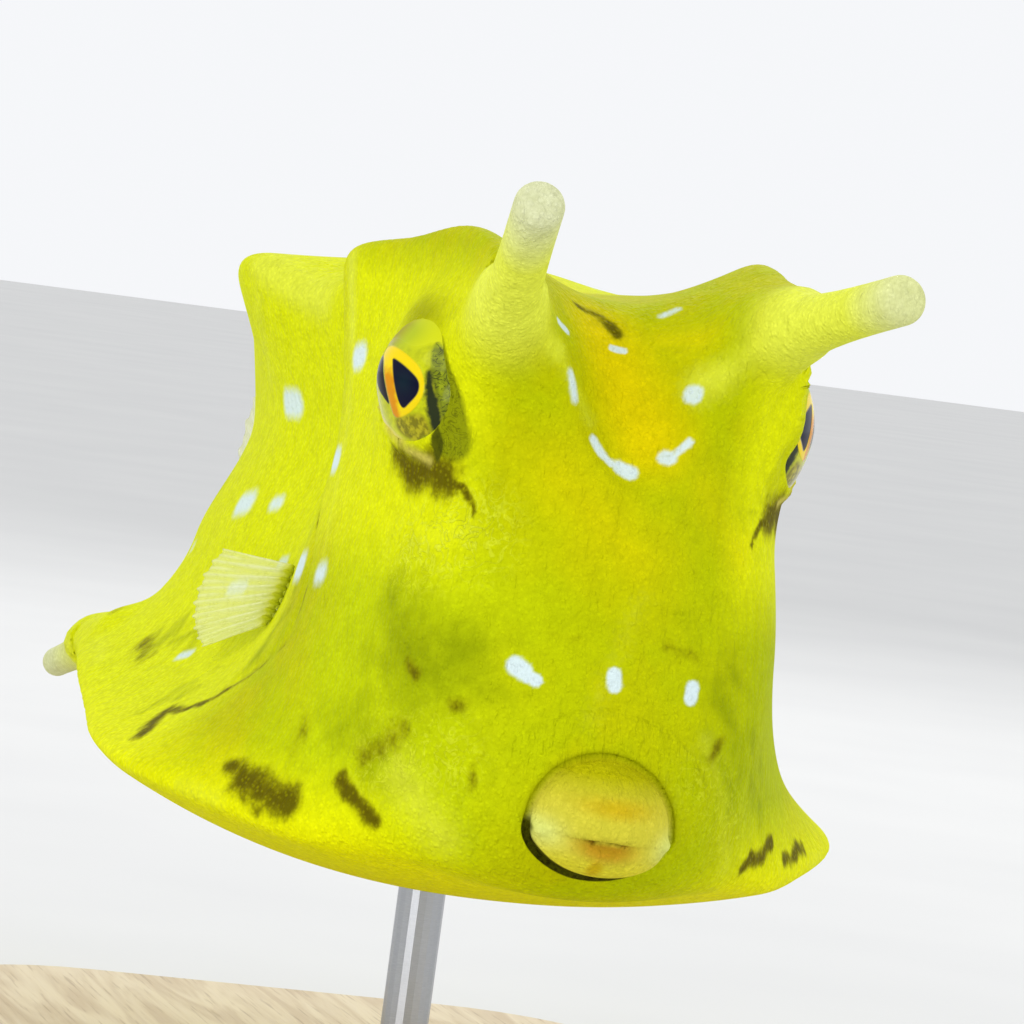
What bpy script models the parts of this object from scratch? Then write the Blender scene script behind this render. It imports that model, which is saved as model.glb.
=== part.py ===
# A longhorn cowfish, life size, held level on a small display stand.
# The fish faces -Y, its left side is +X and +Z is up. The origin is the middle
# of the underside of the stand's base.
#
# Sizes are in millimetres. A place on the fish is told as s, y, z: s runs back
# from the face, y to the fish's left and z up from the lowest line of the belly.
import math

import bmesh
import bpy
import numpy as np
from mathutils import Matrix, Vector

MM = 0.001
GAP = 0.3                # space between two pieces that touch
LIFT = 20.0              # belly line above the floor
MIDDLE = 47.0            # s of the point above the stand's middle

# The shell is a box with a ridge along each upper and lower corner.
RIDGE_S = (0, 6, 16, 24, 31, 40, 48, 57, 72, 88)
RIDGE_Y = (8.3, 10.0, 10.8, 12.6, 14.8, 12.1, 13.8, 16.9, 12.7, 7.5)
RIDGE_Z = (42.9, 45.2, 46.6, 45.2, 44.0, 41.5, 40.6, 41.9, 38.5, 28.5)
CHEEK_S = (0, 7, 13, 20, 31, 40, 57, 75, 88)
UPPER_SIDE_Y = (8.6, 9.8, 11.8, 13.4, 13.6, 10.9, 12.6, 10.8, 7.8)
LOWER_SIDE_Y = (7.9, 11.4, 13.7, 15.4, 15.4, 14.0, 15.3, 14.0, 10.2)
KEEL_S = (0, 4, 8, 15, 20, 30, 42, 55, 70, 88)
KEEL_Y = (5.4, 8.1, 11.5, 17.5, 20.7, 25.3, 26.3, 25.0, 23.4, 19.1)
KEEL_Z = (6.2, 5.9, 5.5, 4.8, 5.4, 6.3, 7.0, 8.0, 10.2, 10.5)
BELLY_S = (0, 4, 10, 20, 40, 60, 75, 88)
BELLY_Z = (5.6, 3.9, 3.2, 1.4, 0.0, 2.2, 4.9, 9.5)
BACK_S = (0, 12, 22, 35, 52, 66, 78, 88)
BACK_Z = (37.0, 41.8, 42.1, 42.3, 43.3, 39.8, 35.9, 29.4)
FACE_Z = (0, 5, 9.5, 14, 21, 28, 31, 42, 56)
FACE_S = (4.5, 2.8, 1.6, 2.0, 3.2, 4.2, 4.6, 3.6, 3.6)
BROW_Z = (30.5, 33.0, 37.5, 41.0, 43.5, 50.0)
BROW_Y = (0.3, 2.6, 4.3, 6.3, 8.3, 11.0)
BROW_SLOPE = 0.62        # how fast the hollow forehead runs back as it rises
TAIL_END_S = 88.5

FRONT_CORE = 15.0        # the shell's rings turn about a line from here
REAR_CORE = 74.0         # to here,
CORE_Z = 20.0            # at this height
NECK_S = 36.5            # where the head's piece meets the trunk's

MOUTH = (1.2, 0.0, 9.3)
MOUTH_SIZE = (2.5, 4.7, 3.9)
MOUTH_LINE_Z = 8.0

EYE_PLACE = (13.8, 10.95, 35.0)
EYE_RADIUS = 5.2
EYE_FRONT = 3.2          # how far the eye bulges out from its widest ring
EYE_BACK = 4.6           # how deep it goes in behind it
EYE_TURN = 20.0          # degrees forward of straight out
LID_RADIUS = 4.45
LID_THICK = 0.6
MOUND_RADIUS = 6.3       # the swelling of the head round the eye
MOUND_OUT = 2.4

HORN_ROOT = {"right": (9.0, -8.9, 38.0), "left": (9.0, 8.5, 40.9)}
HORN_TIP = {"right": (-11.0, -12.1, 47.9), "left": (-11.0, 11.9, 44.9)}
HORN_RADIUS = 1.6
HORN_CUT = 10.0          # along the horn, where its own piece starts
HORN_BOSS = ((10.0, 8.6, 40.4), (2.0, 9.7, 43.0), 2.0)

SPINE_ROOT = (79.0, 17.0, 12.3)
SPINE_TIP = (98.5, 19.4, 7.3)
SPINE_RADIUS = 1.15
SPINE_CUT = 12.8
SPINE_BOSS = ((74.0, 18.8, 12.0), (88.0, 18.9, 9.9), 1.7)

TAIL_STALK_Z = 20.0
TAIL_STALK_FROM = 80.0
TAIL_STALK_CUT = 91.5
TAIL_STALK_TO = 107.0

BASE_LENGTH = 96.0
BASE_WIDTH = 56.0
BASE_THICK = 4.0
ROD_RADIUS = 1.7
ROD_S = 46.0


def along(stations, values, x):
    """Value at x of the smooth line through the named stations."""
    kx = np.array(stations, float)
    ky = np.array(values, float)
    slope = np.gradient(ky, kx)
    x = np.clip(np.asarray(x, float), kx[0], kx[-1])
    i = np.clip(np.searchsorted(kx, x, side="right") - 1, 0, len(kx) - 2)
    h = kx[i + 1] - kx[i]
    t = (x - kx[i]) / h
    start = (2 * t**3 - 3 * t**2 + 1) * ky[i] + (t**3 - 2 * t**2 + t) * h * slope[i]
    end = (-2 * t**3 + 3 * t**2) * ky[i + 1] + (t**3 - t**2) * h * slope[i + 1]
    return start + end


def round_max(a, b, width):
    """The larger of two values, with a rounded change from one to the other."""
    mix = np.clip(0.5 + 0.5 * (a - b) / width, 0, 1)
    return b + (a - b) * mix + width * mix * (1 - mix)


def beyond_rod(s, y, z, rod):
    """Distance from a rod with round ends, told by its two ends and its radius."""
    a, b, radius = np.array(rod[0]), np.array(rod[1]), rod[2]
    p = np.stack(np.broadcast_arrays(s, y, z), -1) - a
    t = np.clip(p @ (b - a) / np.dot(b - a, b - a), 0, 1)
    return np.linalg.norm(p - t[..., None] * (b - a), axis=-1) - radius


def side_y(s, z):
    """Half width of the shell's side at height z: hollow between its ridges."""
    low = along(KEEL_S, KEEL_Z, s)
    tall = along(RIDGE_S, RIDGE_Z, s) - low
    y0 = along(KEEL_S, KEEL_Y, s)
    y1 = along(CHEEK_S, LOWER_SIDE_Y, s)
    y2 = along(CHEEK_S, UPPER_SIDE_Y, s)
    y3 = along(RIDGE_S, RIDGE_Y, s)
    heights = (0.0, 0.36, 0.66, 1.0)
    widths = (y0, y1, y2, y3)
    slopes = ((y1 - y0) / 0.36 * 1.9, (y2 - y0) / 0.66 * 0.35, (y3 - y1) / 0.64, (y3 - y2) / 0.34 * 0.6)
    q = (z - low) / tall
    y = np.where(q < 0, y0 + slopes[0] * q * 0.25, y3 + slopes[3] * (q - 1))
    for i in range(3):
        h = heights[i + 1] - heights[i]
        t = np.clip((q - heights[i]) / h, 0, 1)
        start = (2 * t**3 - 3 * t**2 + 1) * widths[i] + (t**3 - 2 * t**2 + t) * h * slopes[i]
        end = (-2 * t**3 + 3 * t**2) * widths[i + 1] + (t**3 - t**2) * h * slopes[i + 1]
        y = np.where((q >= heights[i]) & (q <= heights[i + 1]), start + end, y)
    return y


def face_at(y, z):
    """s of the face. Its forehead is hollow between two brow ridges.

    The ridges rise apart from one point between the eyes up to the horns.
    """
    aside = np.abs(y)
    back = 2.4 * (aside / 10) ** 2 * np.clip(1 - (z - 31) / 16, 0.35, 1)
    rise = z - BROW_Z[0]
    rise = 0.5 * (rise + np.sqrt(rise**2 + 1.5))
    inner = 1 - (aside / along(BROW_Z, BROW_Y, z)) ** 2
    inner = 0.5 * (inner + np.sqrt(inner**2 + 0.02))
    return along(FACE_Z, FACE_S, z) + back + BROW_SLOPE * rise * np.clip(inner, 0, 1) ** 0.8


def belly_at(s, y):
    """Height of the belly, which sags a little between its two keels."""
    keel = along(KEEL_S, KEEL_Z, s)
    middle = along(BELLY_S, BELLY_Z, s)
    q = np.clip(np.abs(y) / along(KEEL_S, KEEL_Y, s), 0, 1.3)
    return middle + (keel - middle) * q**2.2


def back_at(s, y):
    """Height of the back, which lies lower than its two ridges at the head."""
    ridge = along(RIDGE_S, RIDGE_Z, s)
    middle = along(BACK_S, BACK_Z, s)
    q = np.clip(np.abs(y) / along(RIDGE_S, RIDGE_Y, s), 0, 1.4)
    return middle + (ridge - middle) * (q**2 + 0.35 * (q**2 - q**4))


def eye_frame(s, y, z):
    """A point told from the nearer eye: along its axis, across it, and up."""
    turn = math.radians(EYE_TURN)
    ds, dy = s - EYE_PLACE[0], np.abs(y) - EYE_PLACE[1]
    out = -math.sin(turn) * ds + math.cos(turn) * dy
    across = math.cos(turn) * ds + math.sin(turn) * dy
    return out, across, z - EYE_PLACE[2]


def beyond_mound(s, y, z):
    out, across, up = eye_frame(s, y, z)
    q = np.sqrt((out / MOUND_OUT) ** 2 + (across / MOUND_RADIUS) ** 2 + (up / MOUND_RADIUS) ** 2)
    return (q - 1) * MOUND_OUT


def beyond_shell(s, y, z):
    """Above zero outside the shell and below zero inside it, in millimetres."""
    out = (np.abs(y) - side_y(s, z)) * 0.9
    out = round_max(out, z - back_at(s, y), 2.2)
    out = round_max(out, belly_at(s, y) - z, 2.0)
    out = round_max(out, (face_at(y, z) - s) * 0.95, 3.2)
    out = round_max(out, s - TAIL_END_S + 0.12 * (z - 10), 3.0)
    out = -round_max(-out, -beyond_rod(s, np.abs(y), z, HORN_BOSS), 2.6)
    out = -round_max(-out, -beyond_mound(s, y, z), 1.6)
    return -round_max(-out, -beyond_rod(s, np.abs(y), z, SPINE_BOSS), 3.0)


def place(s, y, z):
    """The point s, y, z of the fish in the model's own frame, in metres."""
    return Vector((y * MM, (s - MIDDLE) * MM, (z + LIFT) * MM))


def material(name, colour, roughness, metallic=0.0):
    mat = bpy.data.materials.new(name)
    mat.use_nodes = True
    shader = mat.node_tree.nodes["Principled BSDF"]
    shader.inputs["Base Color"].default_value = (*colour, 1.0)
    shader.inputs["Roughness"].default_value = roughness
    shader.inputs["Metallic"].default_value = metallic
    mat.diffuse_color = (*colour, 1.0)
    return mat


def closed_object(name, bm, mat=None):
    bmesh.ops.recalc_face_normals(bm, faces=bm.faces)
    mesh = bpy.data.meshes.new(name)
    bm.to_mesh(mesh)
    bm.free()
    mesh.shade_smooth()
    mesh.set_sharp_from_angle(angle=math.radians(40))
    if mat:
        mesh.materials.append(mat)
    obj = bpy.data.objects.new(name, mesh)
    bpy.context.scene.collection.objects.link(obj)
    return obj


def skin_rings(bm, rings, start=None, end=None):
    """Faces between rings of points, closed by a point or a cap at each end."""
    loops = [[bm.verts.new(p) for p in ring] for ring in rings]
    count = len(loops[0])
    for a, b in zip(loops, loops[1:]):
        for j in range(count):
            k = (j + 1) % count
            bm.faces.new((a[j], a[k], b[k], b[j]))
    for loop, tip in ((loops[0], start), (loops[-1], end)):
        if tip is None:
            bm.faces.new(loop)
            continue
        point = bm.verts.new(tip)
        for j in range(count):
            bm.faces.new((loop[j], loop[(j + 1) % count], point))


def shell_rings():
    """Rings of the shell. Their points keep to its ridges and keels."""
    face_rows = [(FRONT_CORE, math.pi / 2 * i / 15) for i in range(1, 15)]
    head_rows = [(s, math.pi / 2) for s in np.linspace(FRONT_CORE, NECK_S, 13)]
    trunk_rows = [(s, math.pi / 2) for s in np.linspace(NECK_S, REAR_CORE, 15)[1:]]
    rear_rows = [(REAR_CORE, math.pi / 2 * (1 + i / 8)) for i in range(1, 8)]
    rows = face_rows + head_rows + trunk_rows + rear_rows
    core = np.array([row[0] for row in rows])[:, None]
    lean = np.array([row[1] for row in rows])[:, None]
    ridge = np.arctan2(along(RIDGE_S, RIDGE_Y, core), along(RIDGE_S, RIDGE_Z, core) - CORE_Z)
    keel = np.arctan2(along(KEEL_S, KEEL_Y, core), along(KEEL_S, KEEL_Z, core) - CORE_Z)
    half = [ridge * i / 8 for i in range(8)]
    half += [ridge + (keel - ridge) * i / 13 for i in range(13)]
    half += [keel + (math.pi - keel) * i / 9 for i in range(10)]
    turn = np.hstack(half + [-t for t in half[-2:0:-1]])
    way = np.stack([-np.cos(lean) + 0 * turn, np.sin(lean) * np.sin(turn), np.sin(lean) * np.cos(turn)], -1)
    return core, way


def reach(core, way):
    """How far the shell lies from the core line along each way."""
    near = np.zeros(way.shape[:-1])
    far = np.full(way.shape[:-1], 60.0)
    for _ in range(34):
        mid = (near + far) / 2
        s = core + way[..., 0] * mid
        out = beyond_shell(s, way[..., 1] * mid, CORE_Z + way[..., 2] * mid)
        near = np.where(out < 0, mid, near)
        far = np.where(out < 0, far, mid)
    return near


def make_shell():
    core, way = shell_rings()
    far = reach(core, way)
    s = core + way[..., 0] * far
    y = way[..., 1] * far
    z = CORE_Z + way[..., 2] * far
    rings = [[place(*p) for p in zip(*row)] for row in zip(s, y, z)]
    front = float(reach(np.array([FRONT_CORE]), np.array([[-1.0, 0.0, 0.0]]))[0])
    rear = float(reach(np.array([REAR_CORE]), np.array([[1.0, 0.0, 0.0]]))[0])
    bm = bmesh.new()
    skin_rings(bm, rings, place(FRONT_CORE - front, 0, CORE_Z), place(REAR_CORE + rear, 0, CORE_Z))
    return closed_object("shell", bm)


def tube(name, start, end, radii, sides=16, flat=1.0, mat=None):
    """A straight tapered tube. radii gives pairs of distance and radius."""
    a = place(*start)
    axis = (place(*end) - a).normalized()
    turn = axis.to_track_quat("Z", "Y").to_matrix().to_4x4()
    rings = []
    for distance, radius in radii:
        ring = []
        for j in range(sides):
            t = 2 * math.pi * j / sides
            p = Vector((radius * MM * math.cos(t), radius * MM * flat * math.sin(t), distance * MM))
            ring.append(a + turn @ p)
        rings.append(ring)
    bm = bmesh.new()
    skin_rings(bm, rings)
    return closed_object(name, bm, mat)


def horn_radii(length, radius, root, root_at, root_long):
    """Radii of a horn: swollen near its root, even further out, with a round end."""
    out = []
    for i in range(13):
        d = (length - radius) * i / 12
        out.append((d, radius + (root - radius) * math.exp(-((d - root_at) / root_long) ** 2)))
    for i in range(1, 5):
        t = math.radians(20 * i)
        out.append((length - radius + radius * math.sin(t), radius * math.cos(t)))
    return out


def ball(name, centre, size, mat=None, turn=0.0, segments=24, rings=14):
    """An ellipsoid with half sizes along s, y and z, turned about the vertical."""
    bm = bmesh.new()
    bmesh.ops.create_uvsphere(bm, u_segments=segments, v_segments=rings, radius=1.0)
    scale = Matrix.Diagonal((size[1] * MM, size[0] * MM, size[2] * MM, 1.0))
    move = Matrix.Translation(place(*centre)) @ Matrix.Rotation(math.radians(turn), 4, "Z") @ scale
    bm.transform(move)
    return closed_object(name, bm, mat)


def disc(name, centre, toward, radius, thick=GAP):
    """A thin round slab across the way from centre to toward."""
    start = Vector(centre)
    axis = (Vector(toward) - start).normalized()
    return tube(name, tuple(start), tuple(start + axis), ((-thick / 2, radius), (thick / 2, radius)), sides=24)


def block(name, centre, size):
    bm = bmesh.new()
    bmesh.ops.create_cube(bm, size=1.0)
    scale = Matrix.Diagonal((size[1] * MM, size[0] * MM, size[2] * MM, 1.0))
    bm.transform(Matrix.Translation(place(*centre)) @ scale)
    return closed_object(name, bm)


def between(a, b, distance):
    """The point that lies distance along the way from a to b."""
    a, b = Vector(a), Vector(b)
    return tuple(a + (b - a).normalized() * distance)


def mirrored(point, hand):
    return (point[0], point[1] * hand, point[2])


def eye_ball(name, hand, gap=0.0, mat=None):
    """An eye: round from the side, shallow in front and deeper behind."""
    bm = bmesh.new()
    bmesh.ops.create_uvsphere(bm, u_segments=28, v_segments=14, radius=1.0)
    bm.transform(Matrix.Rotation(math.pi / 2, 4, "Y"))
    for v in bm.verts:
        depth = (EYE_FRONT if v.co.x * hand > 0 else EYE_BACK) + gap
        v.co = Vector((v.co.x * depth, v.co.y * (EYE_RADIUS + gap), v.co.z * (EYE_RADIUS + gap))) * MM
    turn = Matrix.Rotation(math.radians(-hand * EYE_TURN), 4, "Z")
    bm.transform(Matrix.Translation(place(*mirrored(EYE_PLACE, hand))) @ turn)
    return closed_object(name, bm, mat)


def eye_axis(hand):
    t = math.radians(EYE_TURN)
    return (-math.sin(t), hand * math.cos(t), 0.0)


def make_lid(hand):
    """The raised ring of skin around one eye."""
    axis = eye_axis(hand)
    lift = EYE_FRONT * math.sqrt(1 - (LID_RADIUS / EYE_RADIUS) ** 2)
    centre = place(*[c + a * lift for c, a in zip(mirrored(EYE_PLACE, hand), axis)])
    out = Vector((axis[1], axis[0], 0.0))
    turn = out.to_track_quat("Z", "Y").to_matrix()
    bm = bmesh.new()
    rows = []
    for i in range(28):
        a = 2 * math.pi * i / 28
        row = []
        for j in range(8):
            b = 2 * math.pi * j / 8
            r = LID_RADIUS + LID_THICK * math.cos(b)
            p = Vector((r * math.cos(a), r * math.sin(a), LID_THICK * math.sin(b)))
            row.append(bm.verts.new(centre + turn @ (p * MM)))
        rows.append(row)
    for i in range(28):
        a, b = rows[i], rows[(i + 1) % 28]
        for j in range(8):
            k = (j + 1) % 8
            bm.faces.new((a[j], a[k], b[k], b[j]))
    return closed_object("lid", bm)


def combine(target, pieces, operation):
    """Joins or cuts target with all the pieces at once, then removes them."""
    group = bpy.data.collections.new("pieces")
    bpy.context.scene.collection.children.link(group)
    for piece in pieces:
        group.objects.link(piece)
        piece.hide_render = True
        piece.display_type = "WIRE"
    change = target.modifiers.new("combine", "BOOLEAN")
    change.operation = operation
    change.solver = "EXACT"
    change.operand_type = "COLLECTION"
    change.collection = group
    depsgraph = bpy.context.evaluated_depsgraph_get()
    mesh = bpy.data.meshes.new_from_object(target.evaluated_get(depsgraph))
    target.modifiers.clear()
    target.data = mesh
    for piece in pieces:
        bpy.data.objects.remove(piece)
    bpy.data.collections.remove(group)


def loose_parts(obj):
    """Splits an object into one mesh for each closed surface, largest first."""
    bm = bmesh.new()
    bm.from_mesh(obj.data)
    bmesh.ops.remove_doubles(bm, verts=bm.verts, dist=1e-7)
    bm.verts.ensure_lookup_table()
    owner = {}
    groups = []
    for vert in bm.verts:
        if vert.index in owner:
            continue
        stack = [vert]
        owner[vert.index] = len(groups)
        found = []
        while stack:
            v = stack.pop()
            found.append(v.index)
            for edge in v.link_edges:
                other = edge.other_vert(v)
                if other.index not in owner:
                    owner[other.index] = len(groups)
                    stack.append(other)
        groups.append(found)
    out = []
    for number, found in enumerate(sorted(groups, key=len, reverse=True)):
        keep = set(found)
        piece = bm.copy()
        piece.verts.ensure_lookup_table()
        gone = [v for v in piece.verts if v.index not in keep]
        bmesh.ops.delete(piece, geom=gone, context="VERTS")
        out.append(piece)
    bm.free()
    return out


def name_of(bm):
    """Name of a piece of the body, from where its middle lies."""
    points = [v.co / MM for v in bm.verts]
    middle = sum(points, Vector()) / len(points)
    s = middle.y + MIDDLE
    side = "left" if middle.x > 0 else "right"
    if abs(middle.x) > 6 and s < 3:
        return "horn_" + side
    if abs(middle.x) > 12 and s > 88:
        return "rear_spine_" + side
    if s > TAIL_STALK_CUT:
        return "tail_stalk"
    return "head" if s < NECK_S else "trunk"


def make_body(skin, pale):
    """The body is joined in one, and then parted with thin cuts."""
    shell = make_shell()
    added = []
    cuts = [block("neck_cut", (NECK_S, 0, 22), (GAP, 80, 70))]
    for hand, side in ((1, "left"), (-1, "right")):
        root, tip = HORN_ROOT[side], HORN_TIP[side]
        length = (Vector(tip) - Vector(root)).length
        added.append(tube("horn", root, tip, horn_radii(length, HORN_RADIUS, 2.9, 0.0, 8.0)))
        cuts.append(disc("horn_cut", between(root, tip, HORN_CUT), tip, 3.2))
        root, tip = mirrored(SPINE_ROOT, hand), mirrored(SPINE_TIP, hand)
        length = (Vector(tip) - Vector(root)).length
        added.append(tube("spine", root, tip, horn_radii(length, SPINE_RADIUS, 2.0, 8.0, 5.0)))
        cuts.append(disc("spine_cut", between(root, tip, SPINE_CUT), tip, 4.0))
        added.append(make_lid(hand))
        cuts.append(eye_ball("socket", hand, GAP))
        cuts.append(ball("nostril", (6.3, hand * 9.6, 30.0), (0.8, 0.8, 0.5), segments=10, rings=6))
        gill_y = hand * float(side_y(np.array(34.6), np.array(20.0)))
        cuts.append(ball("gill_slit", (34.4, gill_y, 20.0), (0.45, 1.2, 4.6), segments=16, rings=10))
    added.append(make_tail_stalk())
    cuts.append(disc("stalk_cut", (TAIL_STALK_CUT, 0, TAIL_STALK_Z), (TAIL_STALK_TO, 0, TAIL_STALK_Z), 6.5))
    cuts.append(ball("mouth_socket", MOUTH, [size + GAP for size in MOUTH_SIZE]))
    combine(shell, added, "UNION")
    combine(shell, cuts, "DIFFERENCE")
    for piece in loose_parts(shell):
        name = name_of(piece)
        if name in bpy.data.objects:
            piece.free()
            continue
        closed_object(name, piece, pale if name.startswith("horn") else skin)
    bpy.data.objects.remove(shell)


def make_tail_stalk():
    """The tail's stalk: round at the shell and flat from side to side at the fin."""
    rings = []
    for i in range(10):
        t = i / 9
        s = TAIL_STALK_FROM + (TAIL_STALK_TO - TAIL_STALK_FROM) * t
        wide = 4.2 - 3.2 * t**0.9
        tall = 5.0 - 1.4 * t
        rings.append([place(s, wide * math.cos(a), TAIL_STALK_Z + tall * math.sin(a))
                      for a in np.arange(18) * math.pi / 9])
    bm = bmesh.new()
    skin_rings(bm, rings)
    return closed_object("stalk", bm)


def make_eyes(mat):
    for hand, side in ((1, "left"), (-1, "right")):
        eye_ball("eye_" + side, hand, 0.0, mat)


def make_lips(mat):
    """Two lips, halves of one rounded mouth, with the line of the mouth between."""
    for name, top in (("lip_upper", True), ("lip_lower", False)):
        lip = ball(name, MOUTH, MOUTH_SIZE, mat, segments=28, rings=16)
        tall = 20.0
        centre_z = MOUTH_LINE_Z + (GAP / 2 - tall / 2 if top else tall / 2 - GAP / 2)
        combine(lip, [block("half", (MOUTH[0], 0, centre_z), (20, 20, tall))], "DIFFERENCE")
        lip.data.materials.clear()
        lip.data.materials.append(mat)


def make_fin(name, root, spread, length, rays, thick, mat, curl=0.0):
    """A fin whose rays are ridges of its own membrane.

    root gives two points of its foot, and spread two ways its first and last
    ray run. length gives the rays' length by their place from 0 to 1.
    """
    columns = 2 * rays - 1
    rows = 8
    a, b = Vector(root[0]), Vector(root[1])
    way_a, way_b = Vector(spread[0]).normalized(), Vector(spread[1]).normalized()
    across = (b - a).normalized()
    normal = across.cross((way_a + way_b).normalized()).normalized()
    sides = []
    for sign in (1, -1):
        grid = []
        for i in range(columns):
            u = i / (columns - 1)
            way = way_a.lerp(way_b, u).normalized()
            line = []
            for j in range(rows):
                v = j / (rows - 1)
                ridge = 1.0 if i % 2 == 0 else 0.62
                half = 0.5 * (thick + (0.55 - thick) * v) * ridge
                half = max(half, 0.27)
                if v == 1 or (i in (0, columns - 1)):
                    half = 0.25
                bend = normal * (curl * math.sin(math.pi * u) * v)
                p = a.lerp(b, u) + way * (length(u) * v) + bend + normal * (sign * half)
                line.append(p)
            grid.append(line)
        sides.append(grid)
    bm = bmesh.new()
    verts = [[[bm.verts.new(place(*p)) for p in line] for line in grid] for grid in sides]
    for s, grid in enumerate(verts):
        for i in range(columns - 1):
            for j in range(rows - 1):
                corner = (grid[i][j], grid[i + 1][j], grid[i + 1][j + 1], grid[i][j + 1])
                bm.faces.new(corner[:3])
                bm.faces.new((corner[0], corner[2], corner[3]))
    front, back = verts
    rim = [(i, 0) for i in range(columns - 1)]
    rim += [(columns - 1, j) for j in range(rows - 1)]
    rim += [(i, rows - 1) for i in range(columns - 1, 0, -1)]
    rim += [(0, j) for j in range(rows - 1, 0, -1)]
    for (i, j), (k, m) in zip(rim, rim[1:] + rim[:1]):
        bm.faces.new((front[i][j], front[k][m], back[k][m], back[i][j]))
    return closed_object(name, bm, mat)


def make_fins(mat):
    foot = TAIL_STALK_TO + GAP
    make_fin("tail_fin", ((foot, 0, TAIL_STALK_Z + 3.3), (foot, 0, TAIL_STALK_Z - 3.3)),
             ((1, 0, 0.36), (1, 0, -0.36)), lambda u: 19 + 8 * math.sin(math.pi * u) ** 0.5, 10, 1.7, mat)
    front, rear = 70.0, 78.0
    height = [float(back_at(np.array(s), np.array(0.0))) + GAP + 0.25 for s in (front, rear)]
    make_fin("dorsal_fin", ((front, 0, height[0]), (rear, 0, height[1])),
             ((0.95, 0, 1), (1.0, 0, 0.2)), lambda u: 5.8 + 3.8 * math.sin(math.pi * (0.12 + 0.8 * u)), 8, 1.2, mat)
    front, rear = 78.0, 85.0
    height = [float(belly_at(np.array(s), np.array(0.0))) - GAP - 0.25 for s in (front, rear)]
    make_fin("anal_fin", ((front, 0, height[0]), (rear, 0, height[1])),
             ((0.75, 0, -1), (1.0, 0, -0.1)), lambda u: 6.0 + 4.5 * math.sin(math.pi * (0.12 + 0.8 * u)), 8, 1.2, mat)
    for hand, side in ((1, "left"), (-1, "right")):
        foot = []
        for s, z in ((38.2, 21.0), (38.6, 16.6)):
            y = float(side_y(np.array(s), np.array(z))) + GAP + 0.55
            foot.append((s, hand * y, z))
        make_fin("pectoral_fin_" + side, foot,
                 ((0.86, hand * 0.48, 0.02), (0.80, hand * 0.50, -0.38)),
                 lambda u: 4.5 + 4.5 * math.sin(math.pi * (0.2 + 0.7 * u)), 7, 1.1, mat, curl=0.5 * hand)


def make_stand(mat, rod_mat):
    bm = bmesh.new()
    bmesh.ops.create_cube(bm, size=1.0)
    bm.transform(Matrix.Translation((0, 0, BASE_THICK / 2 * MM))
                 @ Matrix.Diagonal((BASE_WIDTH * MM, BASE_LENGTH * MM, BASE_THICK * MM, 1)))
    upright = [e for e in bm.edges if abs((e.verts[0].co - e.verts[1].co).z) > 0.5 * BASE_THICK * MM]
    bmesh.ops.bevel(bm, geom=upright, offset=14 * MM, segments=8, profile=0.5, affect="EDGES")
    top = [e for e in bm.edges if all(v.co.z > (BASE_THICK - 0.01) * MM for v in e.verts)]
    bmesh.ops.bevel(bm, geom=top, offset=1.0 * MM, segments=3, profile=0.5, affect="EDGES")
    closed_object("stand_base", bm, mat)
    bottom, top = [], []
    for j in range(20):
        t = 2 * math.pi * j / 20
        s, y = ROD_S + ROD_RADIUS * math.sin(t), ROD_RADIUS * math.cos(t)
        roof = float(belly_at(np.array(s), np.array(y)))
        bottom.append(place(s, y, BASE_THICK + GAP - LIFT))
        top.append(place(s, y, roof - GAP - 0.15))
    bm = bmesh.new()
    skin_rings(bm, [bottom, top])
    closed_object("stand_rod", bm, rod_mat)


def main():
    for obj in list(bpy.data.objects):
        bpy.data.objects.remove(obj)
    skin = material("yellow_skin", (0.62, 0.60, 0.01), 0.45)
    pale = material("horn", (0.75, 0.82, 0.30), 0.45)
    eye = material("eye", (0.05, 0.05, 0.06), 0.1)
    lip = material("lip", (0.55, 0.38, 0.02), 0.4)
    fin = material("fin", (0.72, 0.74, 0.30), 0.4)
    stand = material("stand_wood", (0.62, 0.50, 0.34), 0.4)
    rod = material("stand_steel", (0.6, 0.6, 0.6), 0.3, 1.0)
    make_body(skin, pale)
    make_eyes(eye)
    make_lips(lip)
    make_fins(fin)
    make_stand(stand, rod)


main()
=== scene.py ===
# A young longhorn cowfish as a life-size model on a small display stand.
# The fish faces -Y, its left side is +X, and the floor is at z = 0.
import math

import bmesh
import bpy
import numpy as np
from mathutils import Matrix, Vector


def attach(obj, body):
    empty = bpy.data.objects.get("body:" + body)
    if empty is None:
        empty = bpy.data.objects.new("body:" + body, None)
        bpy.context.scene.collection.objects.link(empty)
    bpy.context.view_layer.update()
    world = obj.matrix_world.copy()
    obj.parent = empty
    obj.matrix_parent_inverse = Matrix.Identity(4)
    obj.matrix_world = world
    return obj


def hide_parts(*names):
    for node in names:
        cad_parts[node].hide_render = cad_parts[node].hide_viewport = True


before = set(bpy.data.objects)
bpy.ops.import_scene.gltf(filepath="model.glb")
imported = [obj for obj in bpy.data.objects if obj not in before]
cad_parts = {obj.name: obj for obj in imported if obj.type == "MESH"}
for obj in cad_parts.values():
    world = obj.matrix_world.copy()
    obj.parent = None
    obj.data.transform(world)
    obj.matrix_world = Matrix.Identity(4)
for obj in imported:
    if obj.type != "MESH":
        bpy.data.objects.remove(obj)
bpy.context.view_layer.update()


# The body is a rigid shell of fused plates under thin skin: a box with a ridge
# along each corner, hollow sides and a steep face. A place on it is told in
# millimetres as s, y, z: back from the face, to the left, and up from the belly.
MM = 0.001
LIFT = 20.0
MIDDLE = 47.0
CORE_Z = 20.0
FRONT_CORE = 15.0
REAR_CORE = 74.0
RIDGE_S = (0, 6, 16, 24, 31, 40, 48, 57, 72, 88)
RIDGE_Y = (8.3, 10.0, 10.8, 12.6, 14.8, 12.1, 13.8, 16.9, 12.7, 7.5)
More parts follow.
